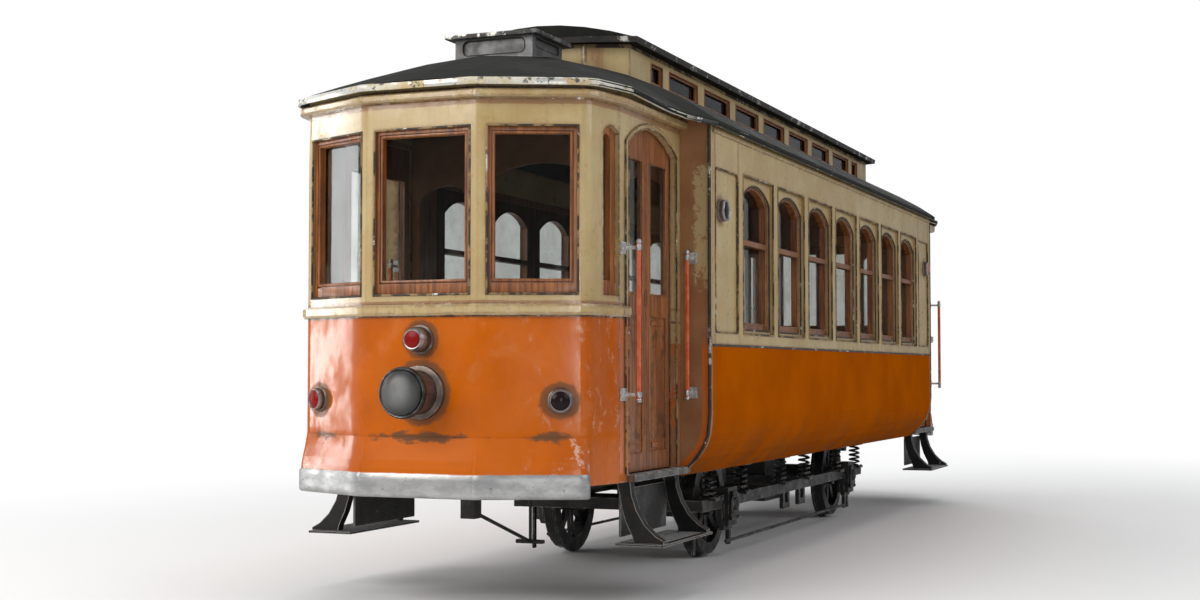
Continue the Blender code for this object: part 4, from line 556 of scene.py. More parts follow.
def iron(name, tone=0.03, edge=0.34, metallic=0.6, share=0.5, meshed=False):
    p = Paint(name)
    base = p.mix(p.blot(0.32, 0.7, 6, 6, 0.65), grey(tone * 0.6), (tone * 1.5, tone * 1.4, tone * 1.3))
    rust = p.blot(0.55, 0.7, 5, 7, 0.7, offset=(7, 7, 2))
    base = p.over(base, (0.07, 0.034, 0.017), rust, 0.4)
    rim = p.edges(0.01, 0.01, 0.16) * p.blot(0.56 - 0.2 * share, 0.66 - 0.2 * share, 14, 6, 0.7)
    patch = p.blot(0.64, 0.68, 8, 7, 0.72, offset=(2, 5, 1))
    base = p.over(base, (edge, edge * 0.97, edge * 0.93), p.most(rim, patch * 0.6))
    if meshed:
        base = p.over(base, (0.085, 0.083, 0.08), step_mesh(p))
    return p.finish(base, p.sheen(0.36, 0.6, 9), metallic, p.bump(p.noise(70, 5), 0.3, 0.002))


def chrome(name, tone, rough):
    p = Paint(name)
    base = p.mix(p.blot(0.45, 0.72, 30, 6, 0.7), grey(tone), grey(tone * 0.55))
    rub = p.mix_value(p.blot(0.35, 0.7, 40, 5, 0.7), rough, rough + 0.22)
    return p.finish(base, rub, 0.95, p.bump(p.noise(90, 4), 0.08, 0.0008))


def lens(name, colour, rough=0.12):
    p = Paint(name)
    base = p.mix(p.blot(0.3, 0.75, 14, 4, 0.6), colour, dimmed(colour, 0.8))
    normal = p.bump(p.noise(30, 2), 0.02, 0.0005)
    return p.finish(base, p.sheen(rough, rough + 0.08, 25, 4), 0.0, normal, Specular_IOR_Level=0.16)


def domed_glass():
    """The headlight's dull domed glass: black at the rim, grey in the middle as a painted reflection."""
    p = Paint("headlight_glass")
    up = p.z - HEADLIGHT_Z
    far = p.math("SQRT", p.x * p.x + up * up)
    # Grey in the middle fading to black at the rim: a painted reflection.
    base = p.mix(p.span(far, 0.0, 0.13), grey(0.23), grey(0.022))
    base = p.over(base, grey(0.07), p.blot(0.4, 0.7, 9, 5, 0.6), 0.3)
    normal = p.bump(p.noise(20, 2), 0.02, 0.0005)
    return p.finish(base, p.sheen(0.34, 0.44, 12, 4), 0.25, normal, Specular_IOR_Level=0.4)


def clear_glass(name, share=1.0):
    """Dusty glass, tinted grey as painted shade; a share below 1 darkens it further, as painted shade, and
    leaves out its unevenness.
    """
    p = Paint(name)
    dust = p.blot(0.35, 0.75, 4, 6, 0.7)
    # The grey tint is painted shade that darkens the view through the glass; the dust varies it.
    tint = p.mix(dust, (0.64, 0.66, 0.65), (0.53, 0.54, 0.52))
    if share < 1:
        # Towards black: painted shade for the dark seen through the panes.
        return p.finish(p.mix(1 - share, tint, grey(0.0)), 0.0, Transmission_Weight=1.0, IOR=1.2)
    normal = p.bump(p.noise(3, 2), 0.02, 0.002)
    return p.finish(tint, p.mix_value(dust, 0.01, 0.04), 0.0, normal, Transmission_Weight=1.0, IOR=1.16)


M = {
    "cream": cream_paint(),
    "band": band_paint(),
    "dash": dash_paint(),
    "skirt": skirt_paint(),
    "side": side_paint(),
    "primer": primer_paint(),
    "frame_wood": wood("frame_wood_varnished", (0.38, 0.128, 0.03), (0.13, 0.038, 0.01)),
    "sash_wood": wood("sash_wood_varnished", (0.33, 0.115, 0.03), (0.11, 0.034, 0.01)),
    "door_wood": wood("door_wood_varnished", (0.36, 0.125, 0.032), (0.125, 0.036, 0.01), 0.36, (8, 14, 0.42)),
    "bench_wood": wood("bench_wood", (0.3, 0.13, 0.04), (0.11, 0.045, 0.015), 0.4, (9, 0.5, 9)),
    "roof": roof_canvas(),
    "nosing": nosing_paint(),
    "sign": scuffed_metal("sign_box_grey", grey(0.095), grey(0.165), 0.45, 0.42, 0.3, 0.01, grey(0.34)),
    "lid": scuffed_strip("sign_lid_worn", (0.16, 0.16, 0.155), 0.6, 0.35, 7.0),
    "trim": scuffed_strip("corner_moulding_worn", (0.06, 0.045, 0.034), 0.5, 0.34, 7.0),
    "scuff": scuffed_strip("opening_edge_worn", (0.3, 0.2, 0.09), 0.62, 0.24, 6.0),
    "dark_strip": scuffed_strip("roof_edge_worn", (0.022, 0.022, 0.02), 0.6, 0.46, 9.0),
    "iron": iron("oily_iron"),
    "bright_iron": iron("rubbed_iron", 0.16, 0.55, 0.8),
    "cast": iron("step_casting", 0.014, 0.46, 0.5, 1.15, True),
    "chrome": chrome("bright_metal", 0.5, 0.24),
    "dull_ring": chrome("dull_lamp_ring", 0.34, 0.26),
    "lamp": scuffed_metal("headlight_drum", (0.085, 0.064, 0.054), (0.19, 0.145, 0.125), 0.7, 0.32, 0.3,
                          0.006),
    "lamp_rim": scuffed_metal("headlight_rim", (0.022, 0.021, 0.02), (0.05, 0.048, 0.045), 0.7, 0.34, 0.2,
                              0.004),
    "lamp_glass": domed_glass(),
    "red_glass": lens("red_lamp_glass", (0.24, 0.004, 0.003), 0.26),
    "amber_glass": lens("amber_lamp_glass", (0.62, 0.14, 0.02)),
    "dark_glass": lens("dark_lamp_glass", (0.014, 0.007, 0.007), 0.16),
    "glass": clear_glass("window_pane"),
    "shade_darkened_glass": clear_glass("clerestory_pane", 0.35),
    "rail": rail_paint(),
    "boards": floor_boards(),
}

NODE_FINISH = {
    "underframe": "boards", "platform_floor": "boards", "side_panel": "side", "window_band": "cream",
    "sash_lining": "sash_wood", "saloon_glass": "glass", "clerestory_glass": "shade_darkened_glass",
    "platform_glass": "glass", "bench": "bench_wood", "bulkhead_rail": "rail", "bulkhead": "primer",
    "dash": "dash", "headlight": "lamp", "skirt": "skirt", "platform_band": "band",
    "platform_lining": "frame_wood", "sign_box": "sign", "wheelset": "iron", "platform_controls": "cast",
    "main_roof": "roof", "clerestory_roof": "roof", "clerestory": "cream", "truck_frame": "iron",
    "step": "cast", "door_leaf": "door_wood", "door_surround": "band",
}
for name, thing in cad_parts.items():
    key = max((k for k in NODE_FINISH if name.startswith(k)), key=len)
    thing.data.materials.clear()
    thing.data.materials.append(M[NODE_FINISH[key]])


# Mesh building

def keep(obj, name, finish, body="car", slot=None):
    """Names a finished mesh, gives it its material and lets it ride on its body."""
    obj.name = name
    obj.data.name = name
    obj.data.materials.clear()
    obj.data.materials.append(M[finish])
    obj.data.shade_smooth()
    obj.data.set_sharp_from_angle(angle=math.radians(40))
    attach(obj, body)


def from_bmesh(work):
    mesh = bpy.data.meshes.new("piece")
    bmesh.ops.recalc_face_normals(work, faces=work.faces)
    work.to_mesh(mesh)
    work.free()
    obj = bpy.data.objects.new("piece", mesh)
    scene.collection.objects.link(obj)
    return obj


def merged(parts):
    """One mesh from several."""
    work = bmesh.new()
    for part in parts:
        work.from_mesh(part.data)
        bpy.data.objects.remove(part, do_unlink=True)
    return from_bmesh(work)


def moved(obj, matrix):
    obj.data.transform(matrix)
    if matrix.determinant() < 0:
        obj.data.flip_normals()
    return obj


def twin(obj, x_sign, y_sign):
    made = bpy.data.objects.new("piece", obj.data.copy())
    scene.collection.objects.link(made)
    return moved(made, Matrix.Diagonal((x_sign, y_sign, 1, 1)))


def both_ends(obj, name, finish, **more):
    rear = twin(obj, -1, -1)
    keep(obj, name + "_front", finish, **more)
    keep(rear, name + "_rear", finish, **more)


def both_sides(obj, name, finish):
    left = twin(obj, -1, 1)
    keep(obj, name + "_right", finish)
    keep(left, name + "_left", finish)


def four_corners(obj, name, finish, body="car", **more):
    """Drawn at the front right; body may be a pattern such as door_hung_%s."""
    for corner, x_sign, y_sign in CORNERS:
        made = obj if (x_sign, y_sign) == (1, 1) else twin(obj, x_sign, y_sign)
        keep(made, name + "_" + corner, finish, body=body.replace("%s", corner), **more)


def block(low, high, bevel):
    work = bmesh.new()
    bmesh.ops.create_cube(work, size=1)
    bmesh.ops.scale(work, vec=[b - a for a, b in zip(low, high)], verts=work.verts)
    bmesh.ops.translate(work, vec=[(a + b) / 2 for a, b in zip(low, high)], verts=work.verts)
    bmesh.ops.bevel(work, geom=work.edges[:], offset=bevel, segments=2, affect="EDGES", profile=0.6)
    return from_bmesh(work)


def turned(axis, quarter=1):
    return Matrix.Rotation(quarter * math.pi / 2, 4, axis)


def circle(radius, steps):
    turns = [2 * math.pi * i / steps for i in range(steps)]
    return [(radius * math.cos(turn), radius * math.sin(turn)) for turn in turns]


def lathe(profile, steps, matrix):
    """Turns (radius, height) points about Z."""
    work = bmesh.new()
    rings = []
    for radius, height in profile:
        places = circle(radius, steps) if radius > 1e-6 else [(0, 0)]
        rings.append([work.verts.new((x, y, height)) for x, y in places])
    for one, two in zip(rings, rings[1:]):
        for i in range(steps):
            j = (i + 1) % steps
            quad = [one[i % len(one)], one[j % len(one)], two[j % len(two)], two[i % len(two)]]
            unique = list(dict.fromkeys(quad))
            if len(unique) > 2:
                work.faces.new(unique)
    return moved(from_bmesh(work), matrix)


def sweep(path, profile, closed=False, up=(0, 0, 1)):
    """Sweeps a closed (out, up) profile along a path; out is to the path's right seen from above."""
    work = bmesh.new()
    points = [Vector(q) for q in path]
    up = Vector(up)
    count = len(points)
    rows = []
    for i, q in enumerate(points):
        before = points[i - 1] if (i or closed) else None
        after = points[(i + 1) % count] if (i < count - 1 or closed) else None
        d1 = (q - before).normalized() if before is not None else (after - q).normalized()
        d2 = (after - q).normalized() if after is not None else d1
        n1, n2 = d1.cross(up).normalized(), d2.cross(up).normalized()
        out = (n1 + n2) / max(0.3, 1 + n1.dot(n2))
        rise = (n1 + n2).normalized().cross((d1 + d2).normalized())
        rows.append([work.verts.new(q + out * a + rise * b) for a, b in profile])
    steps = len(profile)
    for i in range(count if closed else count - 1):
        one, two = rows[i], rows[(i + 1) % count]
        for j in range(steps):
            k = (j + 1) % steps
            work.faces.new((one[j], one[k], two[k], two[j]))
    if not closed:
        work.faces.new(rows[0])
        work.faces.new(list(reversed(rows[-1])))
    return from_bmesh(work)


def along(x, start, end, z, profile):
    """A straight strip along the car."""
    return sweep([(x, start, z), (x, end, z)], profile)


def arch(left, right, bottom, spring, rise, steps=14):
    half = (right - left) / 2
    radius = (half * half + rise * rise) / (2 * rise)
    centre = spring + rise - radius
    turn = math.asin(half / radius)
    points = [(left, bottom), (right, bottom)]
    for i in range(steps + 1):
        angle = turn - 2 * turn * i / steps
        points.append(((left + right) / 2 + radius * math.sin(angle), centre + radius * math.cos(angle)))
    return points


def oblong(left, right, bottom, top, inset=0.0):
    left, right, bottom, top = left + inset, right - inset, bottom + inset, top - inset
    return [(left, bottom), (right, bottom), (right, top), (left, top)]


def rounded(left, right, bottom, top, radius):
    points = []
    corners = ((right, bottom, -1, 1), (right, top, -1, -1), (left, top, 1, -1), (left, bottom, 1, 1))
    for quarter, (x, y, a, b) in enumerate(corners):
        for i in range(6):
            angle = math.pi / 2 * (quarter - 1 + i / 5)
            points.append((x + radius * (a + math.cos(angle)), y + radius * (b + math.sin(angle))))
    return points


def end_frame(y):
    """Frame whose first axis runs across the car, second up, third towards the front, from a place."""
    return Matrix(((1, 0, 0, 0), (0, 0, -1, y), (0, 1, 0, 0), (0, 0, 0, 1)))


def facet_frame(sign):
    """Frame whose first axis runs along a front facet outward from the crease, second up, third outward."""
    along_x, along_y = math.cos(PLAN_FACET), math.sin(PLAN_FACET)
    return Matrix(((sign * along_x, 0, sign * math.sin(PLAN_FACET), sign * PLAN_FLAT_HALF),
                   (along_y, 0, -math.cos(PLAN_FACET), -PLAN_FRONT), (0, 1, 0, 0), (0, 0, 0, 1)))


# Frame whose first axis runs along the car, second up, third to the right
SIDE = Matrix(((0, 0, 1, 0), (1, 0, 0, 0), (0, 1, 0, 0), (0, 0, 0, 1)))


def slab(outlines, frame_matrix, start, end, bevel=0.0):
    """A flat outline with holes between two places on the frame's third axis, edges bevelled."""
    curve = bpy.data.curves.new("outline", "CURVE")
    curve.dimensions = "2D"
    curve.fill_mode = "BOTH"
    curve.extrude = (end - start) / 2
    for outline in outlines:
        spline = curve.splines.new("POLY")
        spline.points.add(len(outline) - 1)
        for point, (a, b) in zip(spline.points, outline):
            point.co = (a, b, 0, 1)
        spline.use_cyclic_u = True
    holder = bpy.data.objects.new("outline", curve)
    scene.collection.objects.link(holder)
    bpy.context.view_layer.update()
    evaluated = holder.evaluated_get(bpy.context.evaluated_depsgraph_get())
    mesh = bpy.data.meshes.new_from_object(evaluated)
    bpy.data.objects.remove(holder, do_unlink=True)
    work = bmesh.new()
    work.from_mesh(mesh)
    bmesh.ops.remove_doubles(work, verts=work.verts, dist=1e-5)
    if bevel:
        rim = [e for e in work.edges if len(e.link_faces) == 2 and e.calc_face_angle(0) > 1.2]
        bmesh.ops.bevel(work, geom=rim, offset=bevel, segments=2, affect="EDGES", profile=0.6,
                        clamp_overlap=True)
    return moved(from_bmesh(work), frame_matrix @ Matrix.Translation((0, 0, (start + end) / 2)))


def ring(outline, frame_matrix, at, radius):
    """A bead along a closed outline drawn on a frame, at a place on its third axis."""
    path = [frame_matrix @ Vector((a, b, at)) for a, b in outline]
    normal = (frame_matrix.to_3x3() @ Vector((0, 0, 1))).normalized()
    return sweep(path, circle(radius, 8), closed=True, up=normal)


def ball(place, radius):
    arc = [math.pi * i / 8 for i in range(1, 8)]
    profile = [(radius * math.sin(turn), radius * math.cos(turn)) for turn in arc]
    return lathe([(0.0, radius), *profile, (0.0, -radius)], 14, Matrix.Translation(place))


FACING = {"X": turned("Y"), "-Y": turned("X"), "Z": Matrix.Identity(4)}


def bolts(places, facing, radius, high):
    """Six-sided heads on washers."""
    profile = [(0.0, high), (radius * 0.86, high), (radius, high * 0.7), (radius, high * 0.25),
               (radius * 1.35, high * 0.25), (radius * 1.35, -0.0005), (0.0, -0.0005)]
    return [lathe(profile, 6, Matrix.Translation(place) @ FACING[facing]) for place in places]


def crossed(a, b):
    """The four places a to each side and b up and down of a middle."""
    return [(i * a, j * b) for i in (-1, 1) for j in (-1, 1)]


# Saloon side

def make_hoods():
    """Arched hoods in the bays with worn inner edges, and beads round the sashes' panes."""
    hoods, edges, beads = [], [], []
    bead_face = LINING_FACE
    for y in WINDOW_CENTRES:
        outer = oblong(y - WINDOW_HALF, y + WINDOW_HALF, SILL_Z, BAY_TOP_Z, 0.001)
        inner = arch(y - 0.309, y + 0.309, SILL_Z + 0.03, 2.448, 0.1)
        hoods.append(slab([outer, inner], SIDE, BAY_BACK + 0.001, BAY_BACK + 0.02, 0.003))
        rim = arch(y - 0.311, y + 0.311, SILL_Z + 0.028, 2.448, 0.102)
        edges.append(ring(rim, SIDE, BAY_BACK + 0.02, 0.006))
        low, high = y - GLASS_HALF - 0.004, y + GLASS_HALF + 0.004
        lower = oblong(low, high, SASH_LOW_Z - 0.004, MEETING_LOW_Z + 0.004)
        upper = arch(low, high, MEETING_HIGH_Z - 0.004, ARCH_SPRING_Z, ARCH_RISE + 0.004)
        beads += [ring(lower, SIDE, bead_face, 0.007), ring(upper, SIDE, bead_face, 0.007)]
        beads.append(block((bead_face - 0.03, low + 0.004, MEETING_LOW_Z),
                           (bead_face + 0.012, high - 0.004, MEETING_HIGH_Z), 0.004))
    both_sides(merged(hoods), "window_hoods", "cream")
    both_sides(merged(edges), "hood_edges", "trim")
    both_sides(merged(beads), "sash_beads", "sash_wood")


def make_corner_mouldings():
    x, y = BODY_HALF - 0.004, -BULKHEAD_FACE - 0.004
    path = [(x, y, 2.86), (x, y, 1.06), *((x - inset, y, z) for inset, z in ROCKER), (x - 0.15, y, 0.742)]
    four_corners(sweep(path, circle(0.011, 10), up=(0, 1, 0)), "corner_moulding", "trim")


def make_side_lamps():
    """Rings, feet and lenses of the round lamps in the blank bays."""
    rim = [(0.0555, 0.0395), (0.058, 0.0455), (0.062, 0.0478), (0.0662, 0.0455), (0.0685, 0.04),
           (0.0685, 0.034)]
    foot = [(0.0684, 0.0345), (0.068, 0.012), (0.072, 0.008), (0.075, 0.001)]
    dome = [(0.0, 0.05), (0.022, 0.0487), (0.042, 0.0448), (0.057, 0.0402)]
    for side, x_sign in (("right", 1), ("left", -1)):
        for end, y_sign, colour in (("front", -1, "dark_glass"), ("rear", 1, "amber_glass")):
            place = Matrix.Translation((x_sign * SIDE_LAMP_FACE, y_sign * SIDE_LAMP_Y, SIDE_LAMP_Z))
            place = place @ turned("Y", x_sign)
            for what, profile, finish in (("ring", rim, "dull_ring"), ("foot", foot, "lamp"),
                                          ("lens", dome, colour)):
                keep(lathe(profile, 36, place), f"side_lamp_{what}_{end}_{side}", finish)


def make_side_strips():
    """Belt bead and cream eave strip along the saloon."""
    end = SALOON_END - 0.002
    both_sides(along(BODY_HALF, -end, end, BELT_Z, circle(0.007, 8)), "belt_bead", "trim")
    profile = [(-0.002, -0.018), (0.01, -0.017), (0.014, -0.01), (0.014, 0.012), (0.01, 0.018),
               (-0.002, 0.02)]
    both_sides(along(BODY_HALF, -end, end, EAVE_STRIP_Z, profile), "eave_strip", "cream")


# Platforms

FRONT_OPENINGS = [(end_frame(-PLAN_FRONT), -0.297, 0.297), (facet_frame(1), 0.048, 0.546),
                  (facet_frame(-1), 0.048, 0.546)]
WINDOW_LOW_Z = 1.738
WINDOW_HIGH_Z = 2.657
# front, rear, foot and spring line of the doorway, and the rise of its arch
DOORWAY = (-4.33, -3.53, 0.745, 2.62, 0.115)


def make_platform_windows():
    """Window frames in two steps: an outer board and an inner bead."""
    parts = []
    low, high = WINDOW_LOW_Z, WINDOW_HIGH_Z
    for matrix, left, right in FRONT_OPENINGS:
        outer = oblong(left, right, low, high, 0.001)
        inner = oblong(left + 0.026, right - 0.026, low + 0.062, high - 0.026)
        parts.append(slab([outer, inner], matrix, -0.029, -0.018, 0.0025))
        bead = oblong(left + 0.036, right - 0.036, low + 0.076, high - 0.036)
        parts.append(ring(bead, matrix, -0.027, 0.008))
    both_ends(merged(parts), "platform_frame_beads", "frame_wood")


def make_opening_edges():
    """Worn beads round the cream openings: platform windows, doorways and their surrounds, bays."""
    parts = [ring(oblong(left, right, WINDOW_LOW_Z, WINDOW_HIGH_Z, 0.001), matrix, 0.0, 0.0065)
             for matrix, left, right in FRONT_OPENINGS]
    both_ends(merged(parts), "platform_opening_edges", "scuff")
    front, rear, foot, spring, rise = DOORWAY
    for name, x, wider, radius in (("doorway_edge", 0.9555, 0.029, 0.0055),
                                   ("doorway_lip_edge", 0.962, 0.001, 0.005)):
        lip = arch(front - wider, rear + wider, foot, spring, rise + wider, 20)
        path = [SIDE @ Vector((a, b, x)) for a, b in lip[1:] + lip[:1]]
        four_corners(sweep(path, circle(radius, 8), up=(1, 0, 0)), name, "scuff")
    parts = [ring(rounded(low, low + 0.46, SILL_Z, 2.578, 0.03), SIDE, BODY_HALF, 0.0055)
             for low in (-3.33, 2.87)]
    for y in WINDOW_CENTRES:
        bay = oblong(y - WINDOW_HALF, y + WINDOW_HALF, SILL_Z, BAY_TOP_Z)
        parts.append(ring(bay, SIDE, BODY_HALF, 0.006))
    both_sides(merged(parts), "bay_edges", "scuff")


def lamp_place(x, z):
    """Where a lamp stands on the dash, turned with its facet."""
    on_facet = abs(x) > PLAN_FLAT_HALF
    angle = math.copysign(PLAN_FACET, x) if on_facet else 0.0
    back = (abs(x) - PLAN_FLAT_HALF) * math.tan(PLAN_FACET) if on_facet else 0.0
    return Matrix.Translation((x, -PLAN_FRONT + back, z)) @ Matrix.Rotation(angle, 4, "Z") @ turned("X")


def make_front_lamps():
    """Ring, lens and foot of the headlight, the top lamp and the two markers."""
    lamps = [
        ("headlight_%s", 0.0, HEADLIGHT_Z, 48, [
            ("ring", "lamp_rim", [(0.119, 0.205), (0.124, 0.214), (0.131, 0.2165), (0.1385, 0.211),
                                  (0.1405, 0.2), (0.14, 0.188), (0.134, 0.182), (0.12, 0.18)]),
            ("lens", "lamp_glass", [(0.0, 0.2579), (0.03, 0.2572), (0.058, 0.254), (0.084, 0.247),
                                    (0.106, 0.2342), (0.118, 0.224), (0.1205, 0.219), (0.121, 0.209)]),
            ("foot", "lamp", [(0.12, 0.034), (0.132, 0.026), (0.146, 0.022), (0.15, 0.014), (0.15, 0.001)])]),
        ("top_lamp_%s", 0.0, TOP_LAMP_Z, 40, [
            ("ring", "dull_ring", [(0.048, 0.0975), (0.053, 0.099), (0.057, 0.096), (0.066, 0.07),
                                   (0.07, 0.056)]),
            ("foot", "lamp", [(0.0695, 0.057), (0.0705, 0.01), (0.08, 0.006), (0.082, 0.001)]),
            ("lens", "red_glass", [(0.0, 0.108), (0.02, 0.1065), (0.038, 0.1015), (0.049, 0.097)])])]
    for side, x, glass in (("a", MARKER_X, "dark_glass"), ("b", -MARKER_X, "red_glass")):
        lamps.append(("marker_%s_" + side, x, MARKER_Z, 36, [
            ("ring", "dull_ring", [(0.0505, 0.045), (0.0535, 0.0485), (0.0575, 0.0475), (0.0615, 0.04),
                                   (0.063, 0.03)]),
            ("foot", "lamp", [(0.0628, 0.0305), (0.064, 0.01), (0.071, 0.006), (0.074, 0.001)]),
            ("lens", glass, [(0.0, 0.061), (0.022, 0.0592), (0.04, 0.0535), (0.0515, 0.045)])]))
    for name, x, z, steps, parts in lamps:
        for what, finish, profile in parts:
            both_ends(lathe(profile, steps, lamp_place(x, z)), name % what, finish)


def make_door_trim():
    """Beads round each leaf's pane and panel, a raised field and two slats on both faces, and the pane."""
    for kind, rear, front in LEAVES:
        left, right = -front + 0.062, -rear - 0.062
        body = "door_" + kind + "_%s"
        parts = []
        for face, out in ((LEAF_FACE, 1), (LEAF_BACK, -1)):
            parts.append(ring(oblong(left - 0.004, right + 0.004, 1.771, 2.549), SIDE, face, 0.0055))
            parts.append(ring(oblong(left - 0.003, right + 0.003, 0.847, 1.643), SIDE, face, 0.0045))
            sunk = face - out * 0.0078
            near, far = sorted((sunk, sunk + out * 0.0062))
            for low in (0.872, 1.588):
                slat = rounded(left + 0.03, right - 0.03, low, low + 0.03, 0.013)
                parts.append(slab([slat], SIDE, near, far, 0.002))
            near, far = sorted((sunk, sunk + out * 0.0028))
            parts.append(slab([oblong(left + 0.012, right - 0.012, 0.92, 1.57)], SIDE, near, far, 0.0012))
        four_corners(merged(parts), "door_beads_" + kind, "door_wood", body)
        pane = slab([oblong(left, right, 1.775, 2.545, 0.0005)], SIDE, 0.896, 0.902)
        four_corners(pane, "door_pane_" + kind, "glass", body)


def make_rail_ends():
    """Ball ends over the bars' tips, collars on the arms and screws in the wall plates."""
    collar = [(0.0, -0.017), (0.015, -0.016), (0.0175, 0.0), (0.015, 0.016), (0.0, 0.017)]
    parts = [ball((*rail, z), 0.0165) for z in RAIL_TIPS_Z for rail in (POST_RAIL, BULKHEAD_RAIL)]
    for z in RAIL_ARMS_Z:
        parts += [lathe(collar, 16, Matrix.Translation((*rail, z))) for rail in (POST_RAIL, BULKHEAD_RAIL)]
        for a, b in crossed(0.022, 0.022):
            parts += bolts([(0.96, POST_RAIL[1] + a, z + b)], "X", 0.0055, 0.003)
            parts += bolts([(BULKHEAD_RAIL[0] + a, -3.44, z + b)], "-Y", 0.0055, 0.003)
    four_corners(merged(parts), "rail_fittings", "chrome")


def make_step_trim():
    """Ribbed tread, worn nosing bar and bracket bolts."""
    rib = [(-0.0045, -0.0005), (0.0045, -0.0005), (0.0028, 0.003), (-0.0028, 0.003)]
    parts = [along(0.884 + 0.022 * i, -4.27, -3.44, 0.3502, rib) for i in range(11)]
    parts += bolts([(1.115, y + a, 0.356) for y in (-4.23, -3.48) for a in (-0.018, 0.018)],
                   "Z", 0.007, 0.005)
    four_corners(merged(parts), "step_ribs", "cast")
    edge = [(-0.004, -0.0075), (0.0008, -0.007), (0.0009, 0.006), (-0.004, 0.0078)]
    four_corners(along(1.149, -4.29, -3.42, 0.343, edge), "step_nosing", "bright_iron", slot="black_cast")


def make_thresholds():
    """Bare metal sills at the doorways with a ribbed plate."""
    rib = [(-0.003, -0.0005), (0.003, -0.0005), (0.0015, 0.002), (-0.0015, 0.002)]
    lip = [(-0.001, -0.0165), (0.003, -0.0165), (0.003, 0.0185), (-0.001, 0.0185)]
    parts = [block((0.9485, -4.328, 0.7352), (1.0005, -3.44, 0.7392), 0.0015)]
    parts += [along(0.957 + 0.011 * i, -4.32, -3.45, 0.739, rib) for i in range(4)]
    parts.append(along(0.9985, -4.328, -3.44, 0.717, lip))
    four_corners(merged(parts), "threshold", "bright_iron")


# Roof

# Distance along the car, half width and height of the eave's corners
EAVE_ROWS = [(3.43 + 1.65 * a, 1.2 * h, 2.85 + 0.05 * e) for a, h, e in (
    (0.0, 1.0, 0.0), (0.061, 0.95, 0.16), (0.139, 0.9, 0.36), (0.285, 0.871, 0.6),
    (0.497, 0.867, 0.84), (0.612, 0.863, 1.0), (0.721, 0.827, 1.0), (0.794, 0.8, 1.0),
    (0.83, 0.762, 1.0), (0.867, 0.667, 1.0), (0.927, 0.5, 1.0), (1.0, 0.288, 1.0))]
CLERESTORY_HALF = 0.55
CLERESTORY_END = 3.25
CLERESTORY_BOW = 0.15
CLERESTORY_PITCH = 0.74
CLERESTORY_SILL_Z = 3.21
CLERESTORY_HEAD_Z = 3.345


def make_nosing():
    """A worn half-round strip round the whole eave."""
    right = [(x - 0.006, -y, z - 0.012) for y, x, z in reversed(EAVE_ROWS)]
    right += [(x - 0.006, y, z - 0.012) for y, x, z in EAVE_ROWS]
    path = right + [(-x, y, z) for x, y, z in reversed(right)]
    profile = [(-0.004, -0.022), (0.003, -0.021), (0.0058, -0.012), (0.006, 0.004), (0.003, 0.014),
               (-0.006, 0.019), (-0.016, 0.017), (-0.018, 0.01)]
    keep(sweep(path, profile, closed=True), "eave_nosing", "nosing")


def bowed(offset, z):
    """Closed line round the clerestory."""
    half, end = CLERESTORY_HALF + offset, CLERESTORY_END + offset
    shares = [1 - 2 * i / 10 for i in range(11)]
    return [(-sign * half * share, sign * (end + CLERESTORY_BOW * (1 - share * share)), z)
            for sign in (-1, 1) for share in shares]


def make_clerestory_trim():
    """Worn edge of the little roof, cornice, and window frames."""
    profile = [(-0.004, -0.019), (0.005, -0.018), (0.008, -0.008), (0.008, 0.008), (0.004, 0.016),
               (-0.01, 0.018)]
    keep(sweep(bowed(0.07, 3.416), profile, closed=True), "clerestory_roof_edge", "dark_strip")
    profile = [(-0.002, -0.012), (0.01, -0.011), (0.012, 0.01), (-0.002, 0.011)]
    keep(sweep(bowed(0.0, 3.388), profile, closed=True), "clerestory_cornice", "scuff")
    last = 3.5 * CLERESTORY_PITCH + 0.17
    windows = [((i - 3) * CLERESTORY_PITCH, 0.295) for i in range(7)] + [(last, 0.11), (-last, 0.11)]
    parts = []
    low, high = CLERESTORY_SILL_Z, CLERESTORY_HEAD_Z
    for y, half in windows:
        outer = oblong(y - half, y + half, low, high, 0.001)
        inner = oblong(y - half + 0.022, y + half - 0.022, low + 0.019, high - 0.017)
        parts.append(slab([outer, inner], SIDE, 0.524, 0.54, 0.002))
        parts.append(ring(oblong(y - half, y + half, low, high), SIDE, CLERESTORY_HALF, 0.0045))
    both_sides(merged(parts), "clerestory_frames", "frame_wood")


def make_sign_trim():
    """Beads round the recessed panels and a worn rim on the lid."""
    parts = [ring(rounded(-0.207, 0.207, 3.226, 3.316, 0.034), end_frame(0), 4.1, 0.0035)]
    parts += [ring(rounded(-4.05, -3.71, 3.262, 3.316, 0.017), SIDE, x, 0.003) for x in (-0.257, 0.257)]
    both_ends(merged(parts), "sign_beads", "trim", slot="grey_metal")
    rim = [(0.302, -4.145, 3.339), (0.302, -3.615, 3.339), (-0.302, -3.615, 3.339), (-0.302, -4.145, 3.339)]
    profile = [(-0.003, -0.0118), (0.0015, -0.0118), (0.003, 0.0), (0.0015, 0.0122), (-0.003, 0.0122)]
    both_ends(sweep(rim, profile, closed=True), "sign_lid_rim", "lid")


# Truck

